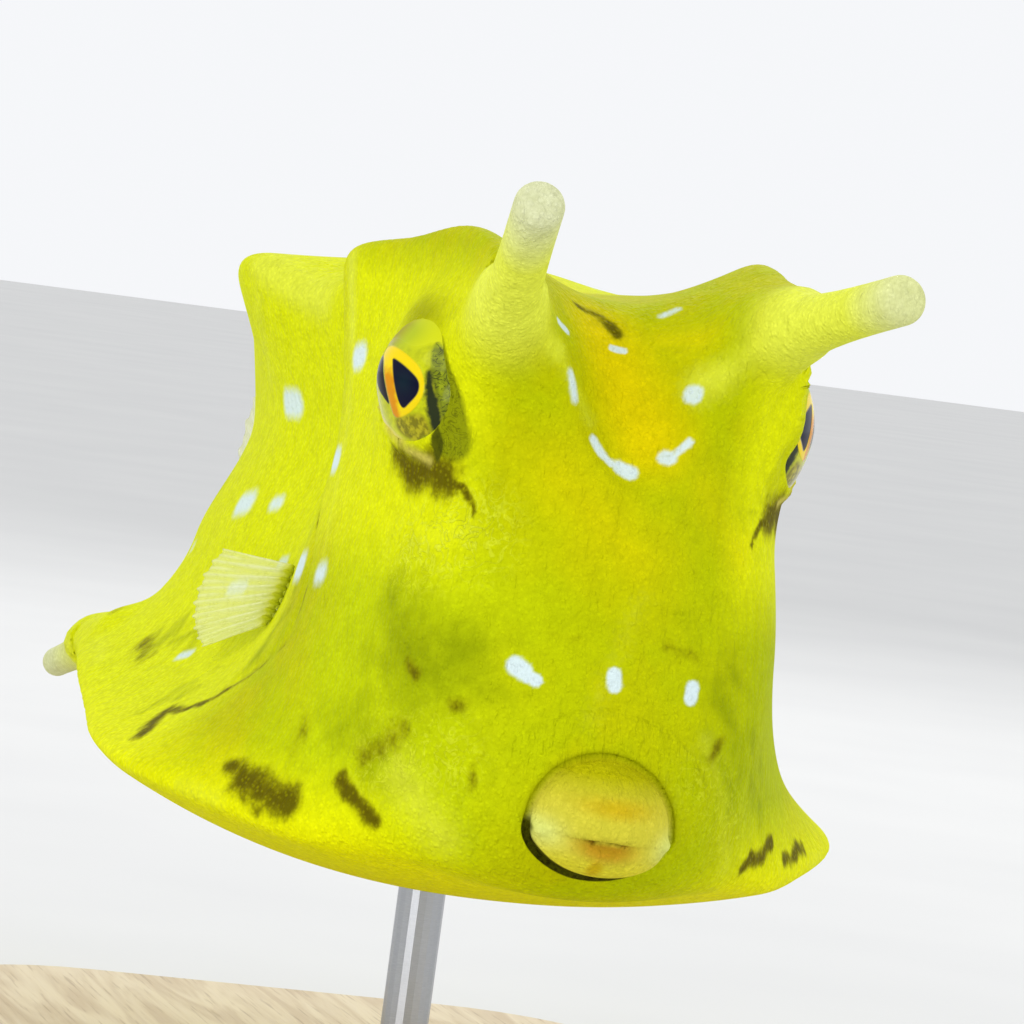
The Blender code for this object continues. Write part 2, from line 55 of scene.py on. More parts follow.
RIDGE_Z = (42.9, 45.2, 46.6, 45.2, 44.0, 41.5, 40.6, 41.9, 38.5, 28.5)
CHEEK_S = (0, 7, 13, 20, 31, 40, 57, 75, 88)
UPPER_SIDE_Y = (8.6, 9.8, 11.8, 13.4, 13.6, 10.9, 12.6, 10.8, 7.8)
LOWER_SIDE_Y = (7.9, 11.4, 13.7, 15.4, 15.4, 14.0, 15.3, 14.0, 10.2)
KEEL_S = (0, 4, 8, 15, 20, 30, 42, 55, 70, 88)
KEEL_Y = (5.4, 8.1, 11.5, 17.5, 20.7, 25.3, 26.3, 25.0, 23.4, 19.1)
KEEL_Z = (6.2, 5.9, 5.5, 4.8, 5.4, 6.3, 7.0, 8.0, 10.2, 10.5)
BELLY_S = (0, 4, 10, 20, 40, 60, 75, 88)
BELLY_Z = (5.6, 3.9, 3.2, 1.4, 0.0, 2.2, 4.9, 9.5)
BACK_S = (0, 12, 22, 35, 52, 66, 78, 88)
BACK_Z = (37.0, 41.8, 42.1, 42.3, 43.3, 39.8, 35.9, 29.4)
FACE_Z = (0, 5, 9.5, 14, 21, 28, 31, 42, 56)
FACE_S = (4.5, 2.8, 1.6, 2.0, 3.2, 4.2, 4.6, 3.6, 3.6)
BROW_Z = (30.5, 33.0, 37.5, 41.0, 43.5, 50.0)
BROW_Y = (0.3, 2.6, 4.3, 6.3, 8.3, 11.0)
BROW_SLOPE = 0.62
TAIL_END_S = 88.5

EYE_PLACE = (13.8, 10.95, 35.0)
EYE_RADIUS = 5.2
EYE_FRONT = 3.2
EYE_TURN = math.radians(20.0)
LID_PLACE = (-0.55, 0.35)
LID_RADIUS = 4.5
LID_THICK = 0.25
LID_FOLD = 0.9
EYE_MOUND_OUT, EYE_MOUND_RADIUS = 2.4, 6.3
FOLD_BY_LEFT_EYE = ((9.8, 11.5, 39.0), (9.3, 11.1, 34.4))
BROW_END = ((10.0, 8.6, 40.4), (2.0, 9.7, 43.0))
MOUTH_S = 1.2
MOUTH_Y = 0.45
MOUTH_LINE_Z = 8.05
UPPER_LIP = ((3.0, 0.0, 0.8), (4.2, 4.6, 4.35))
LOWER_LIP = ((2.8, 0.0, -0.6), (3.6, 4.4, 1.9))
LIP_CORNERS = ((2.0, 0.0, 0.0), (2.2, 4.9, 0.7))
LIP_SLIT = ((-1.2, -0.2, 0.0), (1.2, 1.3, 0.16))
HORNS = {
    "right": ((9.0, -8.9, 38.0), (-11.0, -12.1, 47.9)),
    "left": ((9.0, 8.5, 40.9), (-11.0, 11.9, 44.9)),
}
HORN_RADIUS = 1.6
HORN_CUT = 10.0
SPINE = ((79.0, 17.0, 12.3), (98.5, 19.4, 7.3))
SPINE_RADIUS = 1.15
SPINE_CUT = 12.8
KEEL_END = ((74.0, 18.8, 12.0), (88.0, 18.9, 9.9))
STALK_Z = 20.0
STALK_FROM, STALK_TO = 80.0, 107.0
GILL = ((30.6, 14.4, 25.4), (26.3, 15.5, 21.5), (26.2, 16.5, 16.6), (31.6, 18.1, 13.2))
GILL_DEEP, GILL_WIDE = 0.28, 0.55


def along(stations, values, x):
    """Value at x of the smooth line through the named stations."""
    kx, ky = np.array(stations, float), np.array(values, float)
    slope = np.gradient(ky, kx)
    x = np.clip(np.asarray(x, float), kx[0], kx[-1])
    i = np.clip(np.searchsorted(kx, x, side="right") - 1, 0, len(kx) - 2)
    h = kx[i + 1] - kx[i]
    t = (x - kx[i]) / h
    start = (2 * t**3 - 3 * t**2 + 1) * ky[i] + (t**3 - 2 * t**2 + t) * h * slope[i]
    return start + (-2 * t**3 + 3 * t**2) * ky[i + 1] + (t**3 - t**2) * h * slope[i + 1]


def held(x):
    """x, held between 0 and 1."""
    return np.clip(x, 0, 1)


def round_max(a, b, width):
    """The larger of two values, with a rounded change from one to the other."""
    mix = held(0.5 + 0.5 * (a - b) / width)
    return b + (a - b) * mix + width * mix * (1 - mix)


def round_min(a, b, width):
    return -round_max(-a, -b, width)


def side_y(s, z):
    """Half width of the side at height z: hollow between its two ridges."""
    low = along(KEEL_S, KEEL_Z, s)
    q = (z - low) / (along(RIDGE_S, RIDGE_Z, s) - low)
    y0, y1 = along(KEEL_S, KEEL_Y, s), along(CHEEK_S, LOWER_SIDE_Y, s)
    y2, y3 = along(CHEEK_S, UPPER_SIDE_Y, s), along(RIDGE_S, RIDGE_Y, s)
    marks, widths = (0.0, 0.36, 0.66, 1.0), (y0, y1, y2, y3)
    slopes = ((y1 - y0) / 0.36 * 1.9, (y2 - y0) / 0.66 * 0.35, (y3 - y1) / 0.64, (y3 - y2) / 0.34 * 0.6)
    y = np.where(q < 0, y0 + slopes[0] * q * 0.25, y3 + slopes[3] * (q - 1))
    for i in range(3):
        h = marks[i + 1] - marks[i]
        t = held((q - marks[i]) / h)
        start = (2 * t**3 - 3 * t**2 + 1) * widths[i] + (t**3 - 2 * t**2 + t) * h * slopes[i]
        end = (-2 * t**3 + 3 * t**2) * widths[i + 1] + (t**3 - t**2) * h * slopes[i + 1]
        y = np.where((q >= marks[i]) & (q <= marks[i + 1]), start + end, y)
    return y


def face_at(y, z):
    """s of the face, whose forehead is hollow between two brow ridges."""
    aside = np.sqrt(y**2 + 0.3)
    back = 2.4 * (aside / 10) ** 2 * np.clip(1 - (z - 31) / 16, 0.35, 1)
    rise = z - BROW_Z[0]
    rise = 0.5 * (rise + np.sqrt(rise**2 + 6.0))
    inner = 1 - (aside / (along(BROW_Z, BROW_Y, z) + 0.6)) ** 2
    inner = 0.5 * (inner + np.sqrt(inner**2 + 0.06))
    return along(FACE_Z, FACE_S, z) + back + BROW_SLOPE * rise * held(inner)


def belly_at(s, y):
    keel, middle = along(KEEL_S, KEEL_Z, s), along(BELLY_S, BELLY_Z, s)
    q = np.clip(np.abs(y) / along(KEEL_S, KEEL_Y, s), 0, 1.3)
    return middle + (keel - middle) * q**2.2


def back_at(s, y):
    ridge, middle = along(RIDGE_S, RIDGE_Z, s), along(BACK_S, BACK_Z, s)
    q = np.clip(np.abs(y) / along(RIDGE_S, RIDGE_Y, s), 0, 1.4)
    return middle + (ridge - middle) * (q**2 + 0.35 * (q**2 - q**4))


def eye_frame(s, y, z):
    """A point told from the nearer eye: out along its axis, across it, and up."""
    ds, dy = s - EYE_PLACE[0], np.abs(y) - EYE_PLACE[1]
    out = -math.sin(EYE_TURN) * ds + math.cos(EYE_TURN) * dy
    across = math.cos(EYE_TURN) * ds + math.sin(EYE_TURN) * dy
    return out, across, z - EYE_PLACE[2]


def to_line(points, a, b):
    """Distance of points from the straight line between two places."""
    a, b = np.array(a, float), np.array(b, float)
    t = held((points - a) @ (b - a) / max((b - a) @ (b - a), 1e-9))
    return np.linalg.norm(points - a - t[..., None] * (b - a), axis=-1)


def beyond_rod(s, y, z, a, b, radius, swell=0.0, swell_long=1.0, swell_at=0.0, edge=None):
    """Distance from a round rod from a to b, swollen near swell_at along it.

    edge is the rounding of its far end: as much as its radius if it isn't given.
    """
    a, b = np.array(a), np.array(b)
    long = np.linalg.norm(b - a)
    axis = (b - a) / long
    p = np.stack(np.broadcast_arrays(s, y, z), -1) - a
    d = p @ axis
    r = np.linalg.norm(p - d[..., None] * axis, axis=-1)
    wide = radius + swell * np.exp(-((np.clip(d, 0, long) - swell_at) / swell_long) ** 2)
    edge = radius if edge is None else edge
    end = np.maximum(d - long + edge, -d)
    side = r - wide + edge
    return np.hypot(np.maximum(end, 0), np.maximum(side, 0)) + np.minimum(np.maximum(end, side), 0) - edge


def beyond_box(s, y, z):
    """Above zero outside the plain shell, in millimetres."""
    out = (np.abs(y) - side_y(s, z)) * 0.9
    out = round_max(out, z - back_at(s, y), 2.2)
    out = round_max(out, belly_at(s, y) - z, 2.0)
    out = round_max(out, (face_at(y, z) - s) * 0.95, 3.2)
    return round_max(out, s - TAIL_END_S + 0.12 * (z - 10), 3.0)


def mouth_line(u):
    """How far the closed mouth's line rises above its middle, u to the left of it."""
    return 0.014 * u**2 - 0.03 * u


def beyond_egg(s, u, w, middle, reach):
    """Above zero outside an egg shape that reaches so far from its middle."""
    spread = sum(((x - m) / r) ** 2 for x, m, r in zip((s, u, w), middle, reach))
    return (np.sqrt(spread) - 1) * min(reach)


def mouth_frame(y, z):
    """Across and up from the middle of the mouth's line, and how far out to its groove."""
    u = y - MOUTH_Y
    w = z - MOUTH_LINE_Z - mouth_line(u)
    wide, tall = 4.75, np.where(w > 0, 5.2, 2.55)
    disc = np.hypot(u / wide, w / tall)
    return u, w, (disc - 1) * np.hypot(u, w) / np.maximum(disc, 1e-6)


def add_lips(out, s, y, z):
    """Two fleshy lips with pointed corners stand out of a narrow round groove."""
    u, w, beyond = mouth_frame(y, z)
    trench = np.maximum(np.abs(beyond - 0.1) - 0.2, s - MOUTH_S - 1.7)
    upper, lower = beyond_egg(s, u, w, *UPPER_LIP), beyond_egg(s, u, w, *LOWER_LIP)
    lips = round_min(round_max(upper, 0.05 - w, 0.7), round_max(lower, w + 0.05, 0.7), 0.12)
    lips = round_min(lips, beyond_egg(s, u, w, *LIP_CORNERS), 0.4)
    inner = round_min(out, round_max(lips, -beyond_egg(s, u, w, *LIP_SLIT), 0.12), 0.3)
    return round_max(inner, -trench, 0.2)


def beyond_skin(s, y, z):
    """Above zero outside the whole skin: shell, eye mounds, horns, lips and tail."""
    aside = np.abs(y)
    out = beyond_box(s, y, z)
    out = round_min(out, beyond_rod(s, aside, z, *BROW_END, 2.0), 2.6)
    axis, across, up = eye_frame(s, y, z)
    turn = np.hypot(across, up)
    mound = (np.hypot(axis / EYE_MOUND_OUT, turn / EYE_MOUND_RADIUS) - 1) * EYE_MOUND_OUT
    out = round_min(out, mound, 1.6)
    for root, tip in HORNS.values():
        out = round_min(out, beyond_rod(s, y, z, root, tip, HORN_RADIUS, 0.9, 8.0, 0.0, 0.9), 1.8)
    out = round_min(out, beyond_rod(s, aside, z, *KEEL_END, 1.7), 3.0)
    out = round_min(out, beyond_rod(s, aside, z, *SPINE, SPINE_RADIUS, 0.85, 5.0, 8.0, 0.7), 1.5)
    t = held((s - STALK_FROM) / (STALK_TO - STALK_FROM))
    wide, tall = 4.2 - 3.2 * t**0.9, 5.0 - 1.4 * t
    stalk = (np.sqrt((y / wide) ** 2 + ((z - STALK_Z) / tall) ** 2) - 1) * wide
    stalk = np.maximum(round_max(stalk, s - STALK_TO, 0.6), STALK_FROM - 6 - s)
    out = round_min(out, stalk, 2.5)
    ring = np.hypot(across - LID_PLACE[0], up - LID_PLACE[1])
    rear_low = held(0.5 + (0.75 * across - up) / np.maximum(turn, 1))
    front = held(-across / np.maximum(turn, 1) - 0.2) * (y > 0)
    lift = EYE_FRONT * np.sqrt(1 - np.clip(turn / EYE_RADIUS, 0, 0.97) ** 2)
    lid = np.hypot(ring - LID_RADIUS - LID_FOLD * front, axis - lift + 0.1)
    lid = lid - LID_THICK * (1 + rear_low) - LID_FOLD * front
    out = round_min(out, lid, 0.6)
    out = round_min(out, beyond_rod(s, y, z, *FOLD_BY_LEFT_EYE, 1.05), 1.8)
    points = np.stack(np.broadcast_arrays(s, aside, z), -1)
    crease = np.min([to_line(points, a, b) for a, b in zip(GILL, GILL[1:])], axis=0)
    out = out + GILL_DEEP * np.exp(-(crease / GILL_WIDE) ** 2)
    return add_lips(out, s, y, z)


def place(s, y, z):
    """The point s, y, z of the fish in the model's own frame, in metres."""
    return np.stack([y * MM, (s - MIDDLE) * MM, (z + LIFT) * MM], -1)


def set_out(name, data):
    """A new object of the scene."""
    thing = bpy.data.objects.new(name, data)
    bpy.context.scene.collection.objects.link(thing)
    return thing


def made_mesh(bm, name):
    """What was built in bm, kept as a mesh."""
    mesh = bpy.data.meshes.new(name)
    bm.to_mesh(mesh)
    bm.free()
    return mesh


def rings_mesh(bm, rings):
    """A closed surface through rings of points, capped at both ends."""
    loops = [[bm.verts.new(p) for p in ring] for ring in rings]
    count = len(loops[0])
    for a, b in zip(loops, loops[1:]):
        for j in range(count):
            bm.faces.new((a[j], a[(j + 1) % count], b[(j + 1) % count], b[j]))
    bm.faces.new(list(reversed(loops[0])))
    bm.faces.new(loops[-1])


def rod_rings(root, tip, radius):
    """Rings of 16 points at 12 places along a round rod."""
    root, tip = np.array(root), np.array(tip)
    axis = (tip - root) / np.linalg.norm(tip - root)
    side = np.cross(axis, (0, 0, 1.0))
    side /= np.linalg.norm(side)
    up = np.cross(side, axis)
    turn = np.linspace(0, 2 * math.pi, 16, endpoint=False)
    round_way = np.cos(turn)[:, None] * side + np.sin(turn)[:, None] * up
    return [place(*(root + (tip - root) * t + radius * round_way).T) for t in np.linspace(0, 1, 12)]


def rough_body():
    """Overlapping closed rings of the shell, horns, spines and tail stalk."""
    bm = bmesh.new()
    fronts = [(FRONT_CORE, math.pi / 2 * i / 30) for i in range(1, 30)]
    middles = [(s, math.pi / 2) for s in np.linspace(FRONT_CORE, REAR_CORE, 60)]
    rears = [(REAR_CORE, math.pi / 2 * (1 + i / 20)) for i in range(1, 20)]
    rows = np.array(fronts + middles + rears)
    turn = np.linspace(0, 2 * math.pi, 160, endpoint=False)[None]
    lean, core = rows[:, 1:2], rows[:, 0:1]
    way = np.stack([-np.cos(lean) + 0 * turn, np.sin(lean) * np.sin(turn), np.sin(lean) * np.cos(turn)], -1)
    near, far = np.zeros(way.shape[:2]), np.full(way.shape[:2], 60.0)
    for _ in range(22):
        mid = (near + far) / 2
        out = beyond_box(core + way[..., 0] * mid, way[..., 1] * mid, CORE_Z + way[..., 2] * mid)
        near, far = np.where(out < 0, mid, near), np.where(out < 0, far, mid)
    rings_mesh(bm, place(core + way[..., 0] * near, way[..., 1] * near, CORE_Z + way[..., 2] * near))
    for root, tip in HORNS.values():
        rings_mesh(bm, rod_rings(root, tip, HORN_RADIUS))
    for hand in (1, -1):
        flip = np.array((1, hand, 1))
        rings_mesh(bm, rod_rings(SPINE[0] * flip, SPINE[1] * flip, SPINE_RADIUS))
    rings_mesh(bm, rod_rings((STALK_FROM, 0, STALK_Z), (STALK_TO, 0, STALK_Z), 2.2))
    for (front, _, up), (deep, wide, tall) in (UPPER_LIP, LOWER_LIP):
        lips = []
        for lean in np.linspace(0.08, math.pi - 0.08, 24):
            turn = np.linspace(0, 2 * math.pi, 40, endpoint=False)
            u = wide * math.sin(lean) * np.cos(turn)
            w = up + tall * math.cos(lean) + mouth_line(u)
            lips.append(place(front + deep * math.sin(lean) * np.sin(turn), MOUTH_Y + u, MOUTH_LINE_Z + w))
        rings_mesh(bm, lips)
    bmesh.ops.recalc_face_normals(bm, faces=bm.faces)
    return made_mesh(bm, "rough_body")


def fish_points(mesh):
    """The mesh's points as rows of s, y and z."""
    flat = np.empty(len(mesh.vertices) * 3, np.float32)
    mesh.vertices.foreach_get("co", flat)
    p = flat.reshape(-1, 3).astype(float) / MM
    return np.stack([p[:, 1] + MIDDLE, p[:, 0], p[:, 2] - LIFT], -1)


def split_finer(mesh, chosen):
    """Halve the edges whose two points are both chosen."""
    bm = bmesh.new()
    bm.from_mesh(mesh)
    edges = [e for e in bm.edges if chosen[e.verts[0].index] and chosen[e.verts[1].index]]
    bmesh.ops.subdivide_edges(bm, edges=edges, cuts=1, use_grid_fill=True)
    bm.to_mesh(mesh)
    bm.free()


PROBE = 0.02
LONGEST_MOVE = 0.6
SHAPING_STEPS, EVENING_STEPS = 13, 9


def fine_body(size, splits):
    """One closed surface of small, even faces, drawn onto the exact skin."""
    rough = set_out("rough_body", rough_body())
    remesh = rough.modifiers.new("fuse", "REMESH")
    remesh.mode = "VOXEL"
    remesh.voxel_size = size
    mesh = bpy.data.meshes.new_from_object(rough.evaluated_get(bpy.context.evaluated_depsgraph_get()))
    bpy.data.objects.remove(rough)
    for turn in range(splits):
        s, y, z = fish_points(mesh).T
        at_mouth = np.hypot(y, z - 9.2) < 6.8 - 0.5 * turn
        axis, across, up = eye_frame(s, y, z)
        at_lid = (np.abs(np.hypot(across + 0.5, up - 0.3) - 4.7) < 1.1) & (axis > -1)
        split_finer(mesh, (at_mouth & (s < 6)) | (at_lid & (turn == 0)))
    count = len(mesh.vertices)
    points = fish_points(mesh)
    edges = np.empty(len(mesh.edges) * 2, np.int32)
    mesh.edges.foreach_get("vertices", edges)
    edges = edges.reshape(-1, 2)
    degree = np.bincount(edges.ravel(), minlength=count)[:, None]
    for step in range(SHAPING_STEPS):
        value = beyond_skin(*points.T)
        grad = np.empty_like(points)
        for axis in range(3):
            shift = np.zeros(3)
            shift[axis] = PROBE
            grad[:, axis] = (beyond_skin(*(points + shift).T) - value) / PROBE
        length = np.maximum((grad**2).sum(1), 0.2)
        move = -grad * (value / length)[:, None]
        size_of_move = np.linalg.norm(move, axis=1, keepdims=True)
        points += move * np.minimum(1, LONGEST_MOVE / np.maximum(size_of_move, 1e-9))
        if step < EVENING_STEPS:
            total = np.zeros_like(points)
            for axis in range(3):
                total[:, axis] = (np.bincount(edges[:, 0], points[edges[:, 1], axis], count)
                                  + np.bincount(edges[:, 1], points[edges[:, 0], axis], count))
            drift = total / degree - points
            normal = grad / np.sqrt(length)[:, None]
            drift -= normal * (drift * normal).sum(1, keepdims=True)
            points += 0.5 * drift
    mesh.vertices.foreach_set("co", place(*points.T).astype(np.float32).ravel())
    mesh.update()
    mesh.shade_smooth()
    return mesh, points


body_mesh, body_points = fine_body(0.00034, 2)


# The marks lie in the thin skin that is grown onto the shell, but some of the
# olive and brown ones are painted shade in hollows and creases. Each is a line from
# one place on the skin to another, with its radius and its strength, and those
# on the sides are alike on both sides.
SPOTS = (
    ((5.8, -5.6, 40.6), (6.6, -4.8, 40.0), 0.34, 1),
    ((9.3, -1.1, 39.2), (9.4, -0.3, 39.1), 0.27, 1),
    ((4.8, -4.4, 37.4), (4.9, -3.9, 35.8), 0.55, 1),
    ((5.5, -2.3, 33.3), (5.4, -1.8, 32.6), 0.48, 1),
    ((5.4, -1.8, 32.6), (5.4, -1.1, 32.0), 0.38, 1),
    ((5.5, -0.5, 31.8), (5.5, 0.2, 31.5), 0.55, 1),
    ((5.9, 3.5, 37.0), (5.7, 3.7, 37.0), 0.68, 1),
    ((5.3, 2.2, 32.8), (5.0, 2.5, 32.8), 0.55, 1),
    ((5.0, 2.5, 32.9), (4.9, 3.6, 33.9), 0.41, 1),
    ((3.7, -6.1, 18.4), (3.5, -5.6, 18.1), 0.61, 1),
    ((3.4, -5.3, 17.8), (3.2, -4.7, 17.6), 0.41, 1),
    ((2.9, 0.2, 18.6), (2.7, 0.3, 17.9), 0.48, 1),
    ((3.5, 5.7, 18.3), (3.3, 5.6, 17.6), 0.48, 1),
    ((11.4, 2.5, 41.6), (11.5, 3.5, 42.2), 0.41, 0.6),
)
SIDE_SPOTS = (
    ((54.3, 12.6, 31.5), (52.2, 12.3, 31.6), 1.09, 1),
    ((27.7, 13.8, 36.0), (26.7, 13.7, 36.2), 0.96, 1),
    ((29.5, 14.1, 28.9), (27.8, 14.2, 29.0), 0.96, 1),
    ((58.1, 14.3, 23.6), (55.9, 14.1, 24.0), 1.09, 0.9),
    ((51.4, 13.2, 24.3), (50.5, 13.0, 24.5), 0.75, 0.8),
    ((31.5, 15.1, 21.3), (29.5, 15.3, 21.5), 1.1, 1),
    ((23.0, 15.5, 21.5), (22.0, 15.4, 21.7), 0.96, 0.8),
    ((51.8, 15.4, 17.9), (49.6, 15.0, 18.3), 0.75, 0.85),
    ((50.8, 18.7, 12.8), (49.7, 18.2, 13.1), 0.61, 0.8),
    ((66.5, 11.2, 26.4), (65.4, 11.3, 26.6), 0.9, 0.9),
    ((69.8, 14.6, 19.2), (68.9, 14.5, 19.4), 0.8, 0.9),
    ((76.4, 10.6, 24.8), (75.6, 10.8, 24.9), 0.7, 0.8),
    ((64.0, 15.5, 15.5), (63.0, 15.4, 15.7), 0.7, 0.8),
    ((40.4, 11.8, 31.0), (39.5, 11.9, 31.0), 0.9, 0.9),
    ((44.5, 13.9, 20.6), (43.4, 13.8, 20.9), 0.7, 0.8),
    ((36.5, 6.2, 42.6), (35.6, 6.3, 42.6), 0.8, 0.8),
    ((50.8, 7.4, 41.8), (49.8, 7.4, 41.8), 0.9, 0.8),
    ((63.0, 5.0, 40.6), (62.2, 5.1, 40.7), 0.8, 0.8),
)
BROWN = (
    ((10.6, -3.6, 41.7), (10.8, -1.8, 41.0), 0.31, 0.8),
    ((10.5, -1.4, 40.6), (10.1, -0.6, 39.9), 0.38, 1),
    ((10.7, -2.1, 41.1), (10.3, -1.0, 40.3), 0.61, 0.5),
    ((21.8, -19.7, 8.2), (20.0, -19.1, 7.6), 0.75, 0.9),
    ((20.0, -19.1, 7.3), (15.6, -17.1, 7.1), 1.1, 1),
    ((19.0, -19.2, 6.5), (17.2, -18.4, 6.3), 0.6, 0.7),
    ((17.4, -16.7, 10.3), (17.3, -16.3, 11.9), 0.8, 0.4),
    ((12.4, -14.5, 8.8), (9.4, -12.6, 7.0), 0.6, 1),
    ((11.0, -13.5, 10.8), (8.1, -11.7, 13.4), 0.8, 0.55),
    ((8.1, -11.7, 13.4), (5.3, -9.4, 15.1), 0.5, 0.35),
    ((5.4, -9.5, 15.1), (4.7, -8.8, 15.3), 0.45, 0.8),
    ((8.4, -12.0, 17.4), (7.8, -11.6, 17.0), 0.5, 0.6),
    ((3.9, -8.0, 10.9), (3.7, -7.7, 10.1), 0.35, 0.6),
    ((3.4, -7.2, 12.9), (3.9, -8.1, 11.6), 0.3, 0.35),
    ((4.1, 8.2, 14.9), (3.9, 7.7, 14.1), 0.45, 0.65),
    ((9.4, 12.6, 6.7), (13.2, 15.3, 7.9), 0.5, 1),
    ((15.4, 17.0, 6.6), (20.2, 19.6, 7.2), 0.5, 0.85),
    ((3.5, 3.5, 20.5), (3.8, 5.3, 20.3), 0.5, 0.4),
    ((3.8, -4.8, 20.7), (3.3, -2.5, 20.5), 0.3, 0.4),
)
# Brown marks on the sides: brown blotches of the skin, and painted shade along the gill crease and the grooves
# of the lower flank.
SIDE_BROWN_AND_CREASE_SHADE = (
    ((14.3, 13.1, 30.2), (12.7, 12.5, 29.2), 1.0, 0.8),
    ((12.9, 12.6, 29.7), (9.2, 10.9, 29.7), 1.25, 1),
    ((8.9, 10.7, 29.8), (7.6, 9.8, 28.4), 0.3, 1),
    ((7.6, 9.8, 28.4), (7.0, 9.3, 27.5), 0.16, 0.8),
    ((35.8, 23.6, 8.3), (38.8, 21.6, 9.8), 0.8, 0.9),
    ((38.0, 21.4, 10.0), (32.9, 20.0, 11.2), 0.45, 0.9),
    ((32.9, 20.0, 11.2), (31.1, 18.9, 12.4), 0.34, 0.9),
    ((31.1, 18.9, 12.4), (28.3, 17.4, 14.6), 0.34, 0.6),
    ((30.5, 14.4, 25.2), (28.9, 14.8, 23.7), 0.34, 0.6),
    ((25.2, 15.7, 20.2), (26.2, 16.5, 16.6), 0.3, 0.6),
    ((26.2, 16.5, 16.6), (31.4, 18.1, 13.5), 0.36, 0.6),
    ((56.0, 20.4, 12.6), (60.5, 20.0, 12.8), 0.9, 0.6),
    ((68.0, 13.0, 23.0), (71.0, 12.6, 23.5), 0.8, 0.4),
    ((74.0, 19.0, 13.4), (77.0, 18.4, 13.6), 0.7, 0.6),
)
# Olive marks: olive patches of the skin, and painted shade in the hollows of the cheeks.
OLIVE_AND_SHADE = (
    ((9.2, -12.3, 19.1), (5.8, -9.8, 17.8), 3.75, 0.8),
    ((13.6, -14.5, 13.2), (9.6, -12.7, 10.6), 2.32, 0.55),
    ((4.4, 7.9, 18.3), (5.6, 9.9, 12.5), 1.91, 0.6),
    ((11.2, 13.6, 10.9), (7.0, 11.1, 14.4), 1.64, 0.55),
    ((3.8, -7.8, 14.0), (3.1, -6.8, 10.4), 1.37, 0.3),
    ((16.3, -16.5, 9.7), (12.9, -15.0, 8.3), 1.09, 0.3),
    ((4.2, 4.9, 23.8), (4.0, 6.0, 20.1), 1.09, 0.3),
    ((11.7, -13.1, 21.7), (13.9, -14.1, 18.1), 1.77, 0.35),
)
# Olive marks on the sides: olive patches, and painted shade behind the head's edge and in the crease above the
# lower ridge.
SIDE_OLIVE_AND_SHADE = (
    ((59.4, 19.3, 13.0), (50.5, 17.4, 14.1), 1.6, 0.55),
    ((43.4, 21.8, 9.7), (40.0, 19.4, 11.4), 1.2, 0.55),
    ((30.2, 15.6, 19.1), (30.5, 18.0, 13.6), 1.2, 0.6),
    ((24.2, 14.9, 25.1), (21.5, 15.6, 19.9), 0.7, 0.4),
    ((7.5, 9.8, 32.2), (7.1, 9.1, 29.7), 0.82, 0.4),
    ((11.0, 11.9, 38.9), (7.7, 11.3, 41.1), 1.1, 0.3),
    ((70.0, 13.0, 25.0), (78.0, 11.5, 22.0), 2.5, 0.35),
)
PALE = (
    ((5.6, 4.0, 37.8), (0.9, 8.5, 41.9), 1.5, 0.85),
    ((0.6, -9.2, 41.6), (4.6, -5.7, 38.7), 1.02, 0.8),
    ((4.6, -5.7, 38.7), (5.9, -2.7, 34.5), 0.82, 0.5),
    ((8.0, -11.6, 10.2), (5.7, -9.0, 6.9), 2.05, 0.6),
    ((3.7, 1.5, 23.5), (2.3, -1.1, 15.6), 1.23, 0.3),
    ((3.5, 7.0, 15.0), (7.3, 10.6, 6.4), 0.96, 0.45),
    ((10.0, -11.9, 25.3), (6.9, -9.5, 26.5), 1.37, 0.35),
)
SIDE_PALE = (
    ((54.4, 15.4, 41.3), (46.2, 12.9, 39.2), 1.6, 0.8),
    ((55.6, 15.5, 38.5), (59.6, 13.0, 32.8), 1.2, 0.5),
    ((29.9, 14.5, 42.3), (29.1, 14.0, 37.1), 0.8, 0.8),
    ((29.7, 14.0, 37.1), (26.3, 14.1, 29.8), 0.7, 0.6),
    ((25.7, 14.3, 28.4), (23.0, 15.3, 22.5), 0.6, 0.5),
    ((63.3, 22.1, 10.8), (72.0, 20.6, 11.4), 1.1, 0.5),
    ((49.4, 16.1, 15.8), (38.3, 14.6, 18.1), 0.9, 0.6),
    ((84.0, 18.8, 11.0), (77.0, 18.2, 12.5), 2.0, 0.5),
    ((21.0, 21.4, 6.0), (24.5, 23.2, 6.2), 1.2, 0.6),
)
GOLD = (
    ((9.8, -1.9, 40.2), (6.4, 1.4, 33.7), 2.6, 0.9),
    ((5.1, -4.5, 30.4), (4.0, 1.2, 26.0), 3.41, 0.45),
    ((5.2, 4.8, 31.5), (6.1, 8.4, 26.7), 2.05, 0.35),
    ((9.6, 2.1, 40.1), (8.0, 4.3, 40.4), 2.0, 0.45),
    ((20.0, 0.0, 42.0), (40.0, 0.0, 42.5), 5.0, 0.4),
)
# Outline, across and up, of the recess in front of the eye, painted dark olive as its shade, with dark veins.
SHADED_SOCKET = ((-1.6, 3.9), (-3.07, 2.9), (-4.17, 1.6), (-4.95, 0.4), (-5.38, -0.73), (-5.85, -2.08), (-6.05, -3.3),
          (-5.6, -4.2), (-4.4, -4.3), (-3.2, -4.0), (-3.0, -1.0), (-2.6, 1.0), (-1.2, 3.0))
